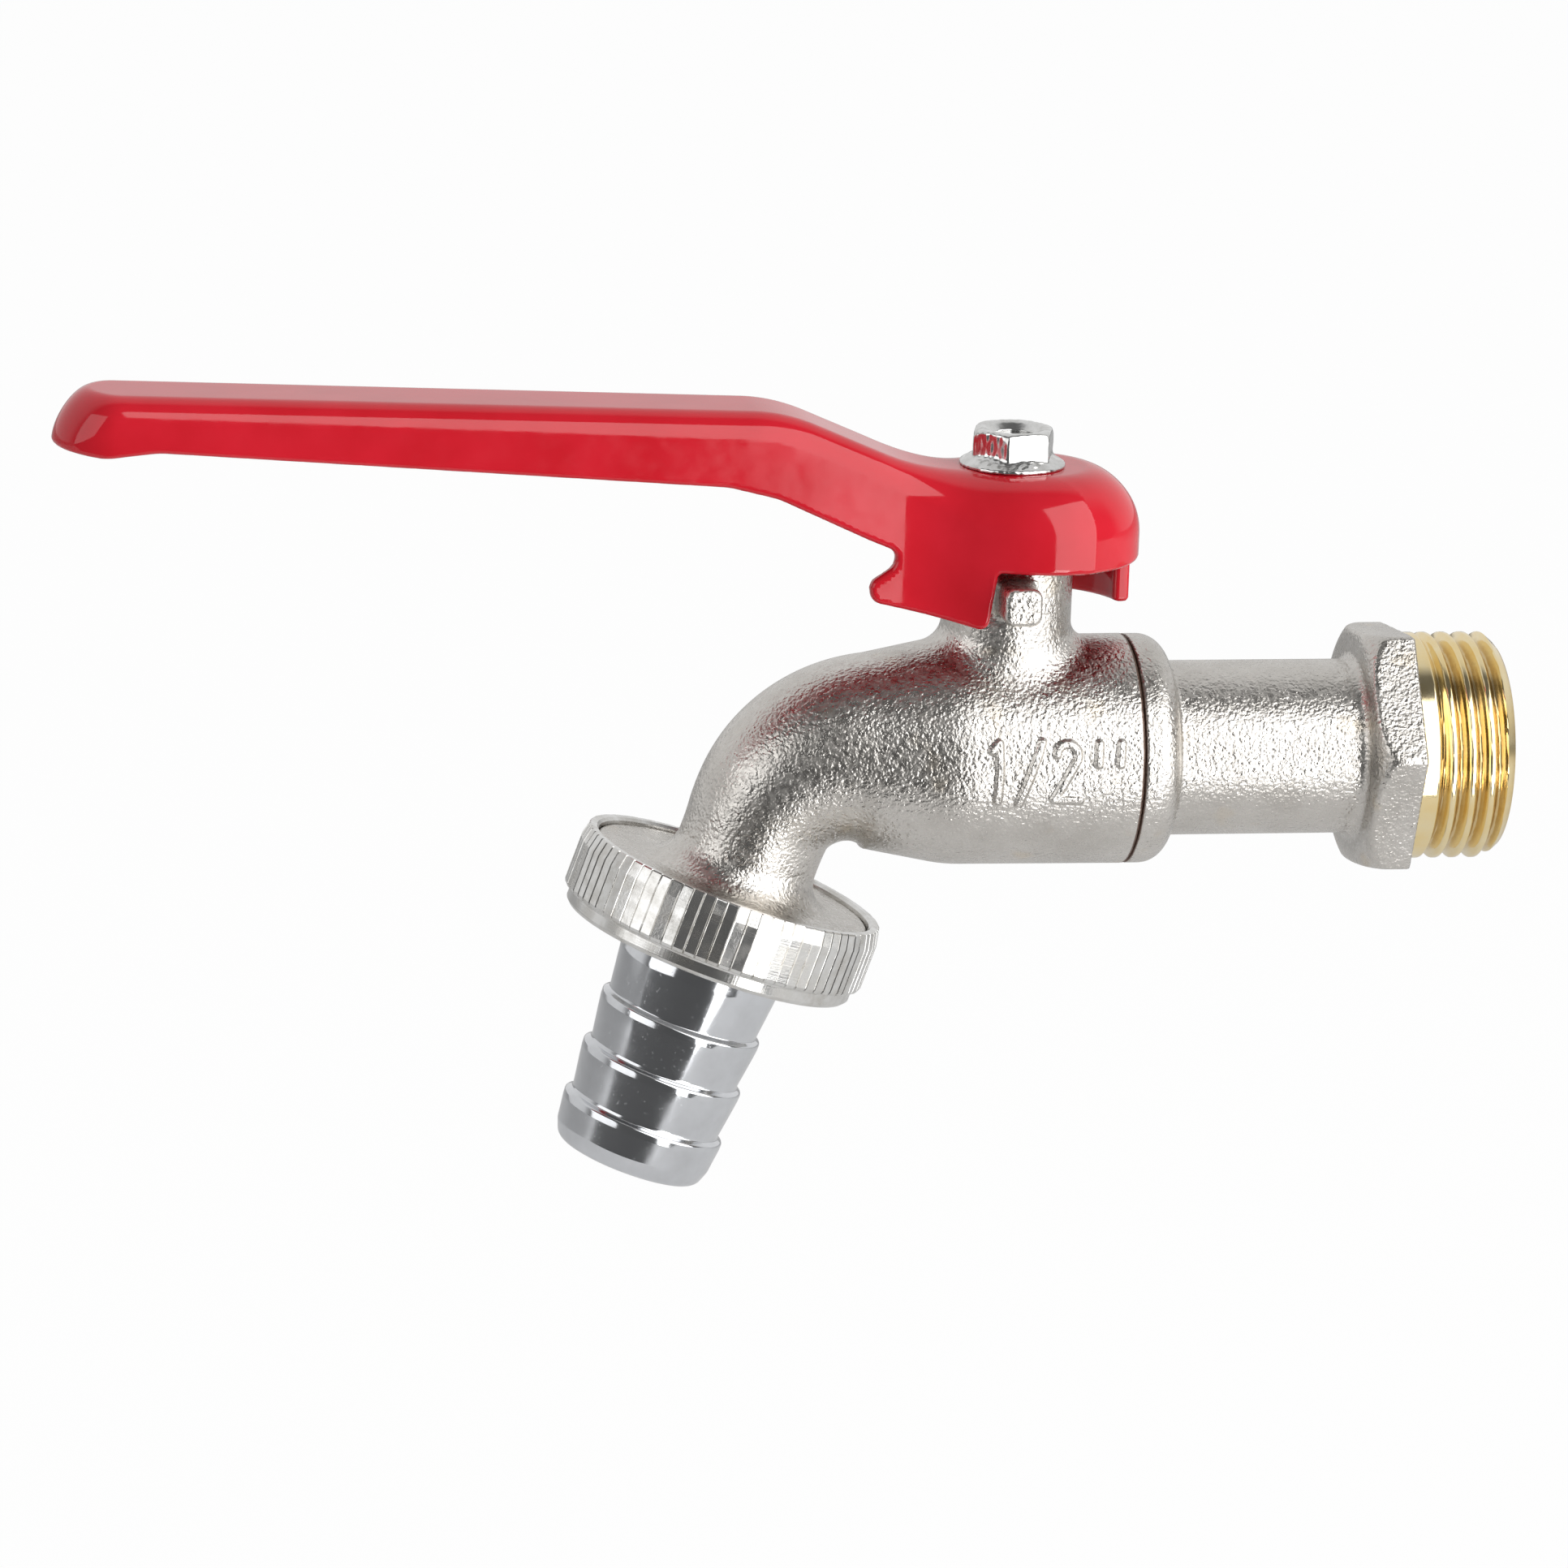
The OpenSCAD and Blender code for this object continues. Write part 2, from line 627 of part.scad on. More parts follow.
module union_nut() {
    band_r = nut_r - 0.7;
    rim_r = nut_r - 0.33;
    rim_h = 1.4;
    bore_r = union_d / 2;
    color(nickel) at_outlet() difference() {
        union() {
            intersection() {
                linear_extrude(height = knurl_h) knurl_section(nut_r);
                rotate_extrude($fn = round_fn)
                    polygon([[0, 0], [rim_r, 0], [nut_r + 0.05, rim_h], [nut_r + 0.05, knurl_h - 0.25],
                             [nut_r - 0.25, knurl_h], [0, knurl_h]]);
            }
            disc(band_r, 1, nut_h - 0.3);
            translate([0, 0, nut_h - 0.3])
                cylinder(r1 = band_r, r2 = band_r - 0.3, h = 0.3, $fn = round_fn);
        }
        disc(bore_r, -cut, lip_top);
        disc(lip_bore_r, 0, nut_h + cut);
    }
}

module union_washer() {
    color(black_rubber) at_outlet() difference() {
        disc(outlet_r - 0.4, washer_end - washer_t, washer_end);
        disc(passage_r + 1, 0, washer_end + cut);
    }
}

module hose_tail() {
    neck_at_nut = ridge_r - 0.05;
    land = 0.6;
    ridges = [for (k = [0 : ridge_count - 1])
        let (z = first_ridge + k * ridge_pitch)
        each [[valley_r, z], [ridge_r - 0.12, z + 0.4], [ridge_r, z + land], [ridge_r, z + 2 * land]]];
    end_arc = [for (a = [90 : -15 : 0])
        [ridge_r - 0.25 - tail_round * (1 - sin(a)), tail_end - tail_round * (1 - cos(a))]];
    color(chrome) at_outlet() rotate_extrude($fn = round_fn)
        polygon(concat([[tail_bore_r, washer_end], [outlet_r - 0.3, washer_end],
                        [outlet_r - 0.3, flange_end], [neck_at_nut, flange_end],
                        [neck_at_nut, nut_h + 1.5]],
                       ridges, end_arc, [[tail_bore_r, tail_end]]));
}

valve_body();
inlet_nipple();
seat_ring_inlet();
seat_ring_outlet();
ball();
stem();
thrust_washer();
stem_ring_lower();
stem_ring_upper();
lever();
lever_nut();
union_nut();
union_washer();
hose_tail();
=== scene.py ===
import math

import bmesh
import bpy
import numpy as np
from mathutils import Matrix, Vector


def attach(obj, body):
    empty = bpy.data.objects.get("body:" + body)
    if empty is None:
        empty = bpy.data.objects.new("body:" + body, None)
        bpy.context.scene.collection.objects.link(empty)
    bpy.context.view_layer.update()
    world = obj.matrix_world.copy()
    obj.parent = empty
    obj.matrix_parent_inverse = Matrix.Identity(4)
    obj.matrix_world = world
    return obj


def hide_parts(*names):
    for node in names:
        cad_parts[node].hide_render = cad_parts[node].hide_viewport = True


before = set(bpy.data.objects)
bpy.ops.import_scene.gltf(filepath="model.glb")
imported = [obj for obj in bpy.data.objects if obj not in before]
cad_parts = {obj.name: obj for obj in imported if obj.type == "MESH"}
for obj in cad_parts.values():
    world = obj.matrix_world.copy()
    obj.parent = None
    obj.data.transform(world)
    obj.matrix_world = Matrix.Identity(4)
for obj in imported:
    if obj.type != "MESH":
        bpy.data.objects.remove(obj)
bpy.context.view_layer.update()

# Lengths below are in millimetres about the crossing of the stem and body axes.
inletReach = 37.5
outletTilt = math.radians(18.8)
outletAxis = np.array([-math.sin(outletTilt), 0.0, -math.cos(outletTilt)])
outletSide = np.array([-math.cos(outletTilt), 0.0, math.sin(outletTilt)])
rimCentre = np.array([-20.45 - 11.6 * math.tan(outletTilt), 0.0, -11.6])


def toRow(points):
    return (np.asarray(points, float) - [inletReach, 0.0, 0.0]) * 0.001


def fromOutlet(points):
    p = np.asarray(points, float)
    return rimCentre + p[:, :1] * outletSide + p[:, 1:2] * [0.0, 1.0, 0.0] + p[:, 2:3] * outletAxis


def intoOutlet(x, y, z):
    dx, dz = x - rimCentre[0], z - rimCentre[2]
    return dx * outletSide[0] + dz * outletSide[2], y, dx * outletAxis[0] + dz * outletAxis[2]


# ---- joining and rounding distance fields (negative inside)
def roundUnion(a, b, r):
    return np.maximum(r, np.minimum(a, b)) - np.hypot(np.maximum(r - a, 0), np.maximum(r - b, 0))


def roundCommon(a, b, r):
    return np.minimum(-r, np.maximum(a, b)) + np.hypot(np.maximum(r + a, 0), np.maximum(r + b, 0))


def softUnion(a, b, k):
    h = np.maximum(k - np.abs(a - b), 0) / k
    return np.minimum(a, b) - h * h * k * 0.25


def ramp(u, w):
    # zero, then a slope of one, with a round corner w wide on both sides of zero
    return np.where(u < -w, 0.0, np.where(u > w, u, (u + w) ** 2 / (4 * w)))


def smoothStep(t):
    t = np.clip(t, 0, 1)
    return t * t * (3 - 2 * t)


def outlineField(u, v, corners):
    # signed distance to a closed outline of 2-D points
    pts = np.asarray(corners, float)
    nearest = np.full(np.shape(u), 1e9)
    sign = np.ones(np.shape(u))
    for (ax, ay), (bx, by) in zip(pts, np.roll(pts, 1, axis=0)):
        ex, ey = bx - ax, by - ay
        wx, wy = u - ax, v - ay
        t = np.clip((wx * ex + wy * ey) / (ex * ex + ey * ey + 1e-12), 0, 1)
        nearest = np.minimum(nearest, (wx - ex * t) ** 2 + (wy - ey * t) ** 2)
        a, b, c = v >= ay, v < by, ex * wy > ey * wx
        sign = np.where((a & b & c) | (~a & ~b & ~c), -sign, sign)
    return sign * np.sqrt(nearest)


def filletOutline(corners, steps=7):
    # corners are (u, v, radius): every corner becomes an arc of its own radius
    out = []
    n = len(corners)
    for i, (x, y, r) in enumerate(corners):
        p = np.array([x, y])
        a = np.array(corners[i - 1][:2]) - p
        b = np.array(corners[(i + 1) % n][:2]) - p
        la, lb = np.linalg.norm(a), np.linalg.norm(b)
        a, b = a / la, b / lb
        half = math.acos(float(np.clip(a @ b, -1, 1))) / 2
        if r <= 0 or half > 1.56:
            out.append(p)
            continue
        cut = min(r / math.tan(half), 0.48 * la, 0.48 * lb)
        r = cut * math.tan(half)
        mid = (a + b) / np.linalg.norm(a + b)
        centre = p + mid * r / math.sin(half)
        start, end = p + a * cut - centre, p + b * cut - centre
        for k in range(steps + 1):
            t = k / steps
            d = start * (1 - t) + end * t
            out.append(centre + d / np.linalg.norm(d) * r)
    return np.array(out)


# ---- meshing a distance field
def fieldSlope(field, p, h=0.01):
    g = np.empty_like(p)
    for k in range(3):
        d = np.zeros(3)
        d[k] = h
        g[:, k] = (field(*(p + d).T) - field(*(p - d).T)) / (2 * h)
    return g


def ontoField(field, p, rounds=3):
    for _ in range(rounds):
        g = fieldSlope(field, p)
        step = (field(*p.T) / np.maximum((g * g).sum(1), 0.05))[:, None] * g
        size = np.linalg.norm(step, axis=1, keepdims=True)
        p = p - step * np.minimum(1, 0.3 / np.maximum(size, 1e-9))
    return p


def skinField(field, low, high, step):
    # one vertex in every grid cell that the surface crosses, joined into quads
    axes = [np.arange(low[k], high[k] + step, step) for k in range(3)]
    value = np.concatenate([field(*np.meshgrid(axes[0][i:i + 24], axes[1], axes[2], indexing="ij"))
                            for i in range(0, len(axes[0]), 24)], axis=0)
    inside = value < 0
    count = np.zeros([n - 1 for n in value.shape], np.int8)
    total = np.zeros(count.shape + (3,))
    hits = np.zeros(count.shape)
    sx, sy, sz = count.shape
    for i in (0, 1):
        for j in (0, 1):
            for k in (0, 1):
                count += inside[i:i + sx, j:j + sy, k:k + sz]
    crossings = []
    for axis in range(3):
        a = np.take(value, range(value.shape[axis] - 1), axis)
        b = np.take(value, range(1, value.shape[axis]), axis)
        i, j, k = np.nonzero((a < 0) != (b < 0))
        t = a[i, j, k] / (a[i, j, k] - b[i, j, k])
        pos = np.stack([axes[0][i], axes[1][j], axes[2][k]], 1)
        pos[:, axis] += t * step
        outward = a[i, j, k] < 0
        crossings.append((np.stack([i, j, k], 1), outward))
        u, v = (axis + 1) % 3, (axis + 2) % 3
        for du in (0, 1):
            for dv in (0, 1):
                cell = np.stack([i, j, k], 1)
                cell[:, u] -= du
                cell[:, v] -= dv
                ok = ((cell >= 0) & (cell < count.shape)).all(1)
                c = cell[ok]
                np.add.at(total, (c[:, 0], c[:, 1], c[:, 2]), pos[ok])
                np.add.at(hits, (c[:, 0], c[:, 1], c[:, 2]), 1)
    used = hits > 0
    index = np.full(count.shape, -1)
    index[used] = np.arange(used.sum())
    verts = total[used] / hits[used][:, None]
    faces = []
    for axis, (edge, outward) in enumerate(crossings):
        u, v = (axis + 1) % 3, (axis + 2) % 3
        corners = []
        for du, dv in ((1, 1), (0, 1), (0, 0), (1, 0)):
            c = edge.copy()
            c[:, u] -= du
            c[:, v] -= dv
            corners.append(index[c[:, 0], c[:, 1], c[:, 2]])
        quad = np.stack(corners, 1)
        faces.append(np.where(outward[:, None], quad, quad[:, ::-1]))
    return verts, np.concatenate(faces)


def relax(verts, faces, field, rounds=2):
    # evens out the quads along the surface, then drops them back on it
    a = faces.ravel()
    b = np.roll(faces, -1, axis=1).ravel()
    for _ in range(rounds):
        mean = np.zeros_like(verts)
        n = np.zeros(len(verts))
        for s, e in ((a, b), (b, a)):
            np.add.at(mean, s, verts[e])
            np.add.at(n, s, 1)
        verts = ontoField(field, verts * 0.4 + 0.6 * mean / n[:, None], 2)
    return verts


def meshObject(name, verts, faces, material, normals=None):
    mesh = bpy.data.meshes.new(name)
    mesh.from_pydata(toRow(verts).tolist(), [], [list(map(int, f)) for f in faces])
    mesh.update()
    mesh.materials.append(material)
    mesh.polygons.foreach_set("use_smooth", [True] * len(mesh.polygons))
    if normals is not None:
        mesh.normals_split_custom_set_from_vertices(normals.tolist())
    obj = bpy.data.objects.new(name, mesh)
    bpy.context.scene.collection.objects.link(obj)
    return obj


def fieldObject(name, field, low, high, step, material, finer=None, finish=None):
    verts, faces = skinField(field, low, high, step)
    verts = relax(ontoField(field, verts), faces, field)
    if finer:
        verts, faces = finerRegion(verts, faces, *finer)
        verts = ontoField(field, verts, 4)
    if finish:
        verts = finish(verts)
    slope = fieldSlope(field, verts, 0.03)
    normals = slope / np.maximum(np.linalg.norm(slope, axis=1, keepdims=True), 1e-9)
    return meshObject(name, verts, faces, material, normals)


def finerRegion(verts, faces, low, high, cuts):
    # cuts the quads of one region into smaller ones
    bm = bmesh.new()
    vs = [bm.verts.new(p) for p in verts.tolist()]
    for f in faces:
        bm.faces.new([vs[i] for i in f])
    chosen = [e for e in bm.edges
              if all(low[k] < v.co[k] < high[k] for v in e.verts for k in range(3))]
    bmesh.ops.subdivide_edges(bm, edges=chosen, cuts=cuts, use_grid_fill=True)
    bmesh.ops.triangulate(bm, faces=[f for f in bm.faces if len(f.verts) > 4])
    bm.verts.index_update()
    out = np.array([v.co for v in bm.verts], float)
    loops = [[v.index for v in f.verts] for f in bm.faces]
    bm.free()
    return out, loops


# ---- camera: a long lens from the left front, a little above
cameraSetup = {"distance": 900.0, "azimuth": -11.157, "elevation": 14.12, "roll": 2.122,
               "across": -19.869, "up": -3.217, "lens": 224.72, "sensor": 36.0}


def makeCamera(s):
    a, e, r = (math.radians(s[k]) for k in ("azimuth", "elevation", "roll"))
    back = Vector((math.sin(a) * math.cos(e), -math.cos(a) * math.cos(e), math.sin(e)))
    level = Vector((math.cos(a), math.sin(a), 0))
    above = back.cross(level)
    right = math.cos(r) * level + math.sin(r) * above
    up = -math.sin(r) * level + math.cos(r) * above
    place = back * s["distance"] + right * s["across"] + up * s["up"]
    data = bpy.data.cameras.new("camera")
    data.lens = s["lens"]
    data.sensor_width = s["sensor"]
    data.sensor_fit = "HORIZONTAL"
    data.clip_start = 0.05
    data.clip_end = 20
    camera = bpy.data.objects.new("camera", data)
    turn = Matrix((right, up, back)).transposed().to_4x4()
    camera.matrix_world = Matrix.Translation(Vector(toRow(place))) @ turn
    bpy.context.scene.collection.objects.link(camera)
    bpy.context.scene.camera = camera
    return camera


camera = makeCamera(cameraSetup)
print("camera done")


# ---- node helpers
class NodeBook:
    def __init__(self, tree):
        self.tree = tree

    def add(self, kind, values=None, links=None, **props):
        node = self.tree.nodes.new(kind)
        for key, value in props.items():
            setattr(node, key, value)
        for key, value in (values or {}).items():
            node.inputs[key].default_value = value
        for key, source in (links or {}).items():
            self.tree.links.new(source, node.inputs[key])
        return node

    def math(self, op, a, b=None, clamp=False):
        node = self.tree.nodes.new("ShaderNodeMath")
        node.operation = op
        node.use_clamp = clamp
        for i, item in enumerate((a, b)):
            if item is None:
                continue
            if isinstance(item, (int, float)):
                node.inputs[i].default_value = item
            else:
                self.tree.links.new(item, node.inputs[i])
        return node.outputs[0]

    def ramp(self, source, stops, interpolation="LINEAR"):
        node = self.tree.nodes.new("ShaderNodeValToRGB")
        node.color_ramp.interpolation = interpolation
        marks = node.color_ramp.elements
        while len(marks) < len(stops):
            marks.new(0.5)
        for mark, (at, colour) in zip(marks, stops):
            mark.position = at
            mark.color = (*colour, 1) if len(colour) == 3 else colour
        self.tree.links.new(source, node.inputs[0])
        return node.outputs[0]

    def noise(self, where, scale, detail=2.0, rough=0.5):
        return self.add("ShaderNodeTexNoise", {"Scale": scale, "Detail": detail, "Roughness": rough},
                        {"Vector": where}).outputs["Fac"]

    def lines(self, along, scale, detail=2.0):
        node = self.add("ShaderNodeTexNoise", {"Scale": scale, "Detail": detail}, noise_dimensions="1D")
        self.tree.links.new(along, node.inputs["W"])
        return node.outputs["Fac"]

    def dot(self, a, vector):
        return self.add("ShaderNodeVectorMath", {1: tuple(vector)}, {0: a}, operation="DOT_PRODUCT").outputs["Value"]

    def around(self, where, centre, axis, side):
        # distance along an axis, distance from it and the angle round it
        rel = self.add("ShaderNodeVectorMath", {1: tuple(centre)}, {0: where}, operation="SUBTRACT").outputs[0]
        u, v = self.dot(rel, side), self.dot(rel, (0, 1, 0))
        radius = self.math("SQRT", self.math("ADD", self.math("MULTIPLY", u, u), self.math("MULTIPLY", v, v)))
        return self.dot(rel, axis), radius, self.math("ARCTAN2", v, u)

    def blend(self, share, a, b):
        node = self.add("ShaderNodeMix", data_type="RGBA")
        for i, item in ((6, a), (7, b)):
            if isinstance(item, tuple):
                node.inputs[i].default_value = (*item, 1)
            else:
                self.tree.links.new(item, node.inputs[i])
        self.tree.links.new(share, node.inputs[0])
        return node.outputs[2]

    def level(self, value, low, high, outLow=0.0, outHigh=1.0, kind="SMOOTHSTEP"):
        return self.add("ShaderNodeMapRange", {"From Min": low, "From Max": high, "To Min": outLow, "To Max": outHigh},
                        {"Value": value}, interpolation_type=kind).outputs["Result"]


def grey(v):
    return (v, v, v)


def newMaterial(name):
    mat = bpy.data.materials.new(name)
    mat.use_nodes = True
    mat.node_tree.nodes.clear()
    book = NodeBook(mat.node_tree)
    out = book.add("ShaderNodeOutputMaterial")
    skin = book.add("ShaderNodeBsdfPrincipled")
    mat.node_tree.links.new(skin.outputs[0], out.inputs[0])
    where = book.add("ShaderNodeTexCoord").outputs["Object"]
    return mat, book, skin, where


def finishSkin(book, skin, colour=None, rough=None, height=None, distance=0.0, metallic=None):
    links = book.tree.links
    if colour is not None:
        links.new(colour, skin.inputs["Base Color"])
    if rough is not None:
        links.new(rough, skin.inputs["Roughness"])
    if height is not None:
        bump = book.add("ShaderNodeBump", {"Strength": 1.0, "Distance": distance}, {"Height": height})
        links.new(bump.outputs[0], skin.inputs["Normal"])
    if metallic is not None:
        skin.inputs["Metallic"].default_value = metallic


# shot-blasted casting under a thin nickel plate
castNickel = {"colour": (0.66, 0.635, 0.60), "dark": (0.54, 0.515, 0.48), "warm": (0.62, 0.52, 0.38),
              "stain": (0.10, 0.045, 0.025), "seam": -0.02615, "seamWidth": 0.00014, "roughness": 0.29,
              "grain": 2300.0, "fine": 5200.0, "height": 0.00010}


def makeCastNickel(s):
    mat, book, skin, where = newMaterial("castNickel")
    m = book.math
    broad = book.noise(where, 140.0, 4.0, 0.6)
    colour = book.ramp(broad, [(0.32, s["dark"]), (0.68, s["colour"])])
    tarnish = book.level(book.noise(where, 210.0, 2.0), 0.60, 0.78, 0.0, 0.5)
    colour = book.blend(tarnish, colour, s["warm"])
    x = book.add("ShaderNodeSeparateXYZ", links={0: where}).outputs["X"]
    off = m("ABSOLUTE", m("SUBTRACT", m("ADD", x, m("MULTIPLY", book.noise(where, 900.0), 0.00006)), s["seam"]))
    stain = book.level(off, s["seamWidth"], s["seamWidth"] * 2.2, 0.9, 0.0)
    colour = book.blend(stain, colour, s["stain"])
    grain = book.noise(where, s["grain"], 1.5, 0.6)
    fine = book.noise(where, s["fine"], 1.0, 0.5)
    lumps = book.add("ShaderNodeTexVoronoi", {"Scale": s["grain"] * 1.25}, {"Vector": where}).outputs["Distance"]
    height = m("ADD", m("ADD", grain, m("MULTIPLY", fine, 0.3)), m("MULTIPLY", lumps, -0.35))
    rough = m("ADD", book.level(book.noise(where, 1500.0, 1.0), 0.3, 0.7, s["roughness"] - 0.07, s["roughness"] + 0.07),
              m("MULTIPLY", stain, 0.3))
    finishSkin(book, skin, colour, rough, height, s["height"], 1.0)
    return mat


# thick red dip coat on the lever
enamel = {"colour": (0.62, 0.014, 0.028), "deep": (0.55, 0.010, 0.020), "roughness": 0.075, "peel": 330.0,
          "height": 0.000012}


def makeEnamel(s):
    mat, book, skin, where = newMaterial("redEnamel")
    colour = book.ramp(book.noise(where, 160.0, 3.0), [(0.3, s["deep"]), (0.7, s["colour"])])
    rough = book.level(book.noise(where, 700.0, 2.0), 0.3, 0.7, s["roughness"] - 0.02, s["roughness"] + 0.03)
    peel = book.noise(where, s["peel"], 1.0, 0.3)
    finishSkin(book, skin, colour, rough, peel, s["height"])
    return mat


# bright plated tube and ball
chrome = {"colour": (0.70, 0.715, 0.74), "dull": (0.60, 0.61, 0.63), "roughness": 0.10, "haze": 0.12,
          "height": 0.0000035}


def makeChrome(s):
    mat, book, skin, where = newMaterial("chromePlate")
    clouds = book.noise(where, 260.0, 4.0, 0.6)
    colour = book.ramp(clouds, [(0.3, s["dull"]), (0.65, s["colour"])])
    specks = book.level(book.noise(where, 2600.0, 2.0), 0.62, 0.75, 0.0, s["haze"])
    rough = book.math("ADD", book.level(clouds, 0.3, 0.7, s["roughness"] + 0.05, s["roughness"] - 0.02), specks)
    wave = book.math("ADD", book.noise(where, 420.0, 1.0), book.math("MULTIPLY", book.noise(where, 3000.0, 1.0), 0.12))
    finishSkin(book, skin, colour, rough, wave, s["height"], 1.0)
    return mat


# turned and plated union ring: lines round the band, chatter marks on the plain lower band
turned = {"colour": (0.74, 0.735, 0.72), "dull": (0.60, 0.585, 0.555), "roughness": 0.17, "lines": 7000.0,
          "chatter": 46.0, "bandEnd": 0.0060, "height": 0.000006}


def makeTurned(s):
    mat, book, skin, where = newMaterial("turnedNickel")
    m = book.math
    along, radius, angle = book.around(where, toRow([rimCentre])[0], outletAxis, outletSide)
    patches = book.noise(where, 520.0, 3.0, 0.65)
    colour = book.ramp(patches, [(0.34, s["dull"]), (0.62, s["colour"])])
    rings = book.lines(along, s["lines"])
    chatter = book.lines(m("MULTIPLY", angle, s["chatter"]), 1.6, 1.0)
    onBand = m("GREATER_THAN", along, s["bandEnd"])
    mottle = book.noise(where, 3200.0, 2.0, 0.6)
    worn = m("ADD", m("MULTIPLY", m("SUBTRACT", 1.0, onBand), m("MULTIPLY", mottle, 1.1)), m("MULTIPLY", onBand, chatter))
    height = m("ADD", m("MULTIPLY", rings, 0.6), worn)
    rough = m("ADD", book.level(patches, 0.3, 0.7, s["roughness"] + 0.08, s["roughness"] - 0.03),
              m("MULTIPLY", rings, 0.05))
    finishSkin(book, skin, colour, rough, height, s["height"], 1.0)
    return mat


# bare brass with fine turning lines, browned in the thread roots
brass = {"colour": (0.87, 0.69, 0.36), "pale": (0.88, 0.75, 0.47), "root": (0.42, 0.25, 0.08), "crest": 0.010478,
         "roughness": 0.10, "lines": 9000.0, "height": 0.0000035}


def makeBrass(s):
    mat, book, skin, where = newMaterial("brassMetal")
    m = book.math
    along, radius, angle = book.around(where, (0, 0, 0), (1, 0, 0), (0, 0, 1))
    patches = book.noise(where, 380.0, 3.0)
    colour = book.ramp(patches, [(0.35, s["colour"]), (0.65, s["pale"])])
    depth = m("ADD", m("SUBTRACT", s["crest"], radius), m("MULTIPLY", book.noise(where, 2400.0, 2.0), 0.0003))
    root = m("MULTIPLY", book.level(depth, 0.0006, 0.0014, 0.0, 0.55), m("GREATER_THAN", along, 0.0))
    colour = book.blend(root, colour, s["root"])
    rings = book.lines(along, s["lines"], 3.0)
    height = m("ADD", rings, m("MULTIPLY", book.noise(where, 2600.0, 1.0), 0.4))
    rough = m("ADD", book.level(patches, 0.3, 0.7, s["roughness"] - 0.02, s["roughness"] + 0.05), m("MULTIPLY", root, 0.2))
    finishSkin(book, skin, colour, rough, height, s["height"], 1.0)
    return mat


# zinc plated steel nut with dents from the spanner
zinc = {"colour": (0.74, 0.74, 0.73), "dull": (0.58, 0.575, 0.56), "roughness": 0.12, "height": 0.00005}


def makeZinc(s):
    mat, book, skin, where = newMaterial("zincSteel")
    m = book.math
    patches = book.noise(where, 900.0, 4.0, 0.6)
    colour = book.ramp(patches, [(0.32, s["dull"]), (0.6, s["colour"])])
    dents = book.noise(where, 620.0, 2.0, 0.55)
    grain = book.noise(where, 5200.0, 1.0)
    height = m("ADD", dents, m("MULTIPLY", grain, 0.05))
    rough = book.level(patches, 0.3, 0.7, s["roughness"] + 0.12, s["roughness"] - 0.03)
    finishSkin(book, skin, colour, rough, height, s["height"], 1.0)
    return mat


def makePlastic(name, colour, roughness, bumps):
    mat, book, skin, where = newMaterial(name)
    clouds = book.noise(where, 700.0, 3.0)
    tint = book.ramp(clouds, [(0.3, tuple(c * 0.88 for c in colour)), (0.7, colour)])
    rough = book.level(clouds, 0.3, 0.7, roughness - 0.06, roughness + 0.06)
    finishSkin(book, skin, tint, rough, book.noise(where, bumps, 2.0), 0.00002)
    return mat


castMetal = makeCastNickel(castNickel)
redEnamel = makeEnamel(enamel)
chromePlate = makeChrome(chrome)
turnedNickel = makeTurned(turned)
brassMetal = makeBrass(brass)
zincSteel = makeZinc(zinc)
sealPlastic = makePlastic("sealPlastic", (0.82, 0.81, 0.77), 0.42, 2200.0)
blackRubber = makePlastic("blackRubber", (0.022, 0.022, 0.023), 0.55, 3600.0)

nodeFinish = {"valve_body": castMetal, "inlet_nipple": castMetal, "seat_ring_inlet": sealPlastic,
              "seat_ring_outlet": sealPlastic, "ball": chromePlate, "stem": zincSteel,
              "thrust_washer": sealPlastic, "stem_ring_lower": blackRubber,
              "stem_ring_upper": blackRubber, "lever": redEnamel, "lever_nut": zincSteel,
              "union_nut": turnedNickel, "union_washer": blackRubber, "hose_tail": chromePlate}
for nodeName, finish in nodeFinish.items():
    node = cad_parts[nodeName]
    node.data.materials.clear()
    node.data.materials.append(finish)
print("materials done")

# ---- valve body: chamber, bent spout, neck, stop lug and outlet boss
bodyForm = {"chamberR": 10.5, "chamberFlare": 0.006, "taper": 0.193, "bend": 10.0, "seam": 11.35,
            "seamRound": 0.22, "neckR": 5.96, "neckTop": 19.6, "neckFillet": 1.9, "lugHalf": 1.725,
            "lugX": -0.65, "lugZ": 15.75, "lugReach": 10.8, "lugRound": 0.9, "bossR": 13.12,
            "bossTop": 0.5, "bossEnd": 3.38, "bossCore": 12.0, "bossFillet": 3.0, "bendShift": 0.35, "step": 0.3}
bendStart = 20.45 - bodyForm["bend"] * math.tan((math.pi / 2 - outletTilt) / 2)
bendTurn = math.pi / 2 - outletTilt


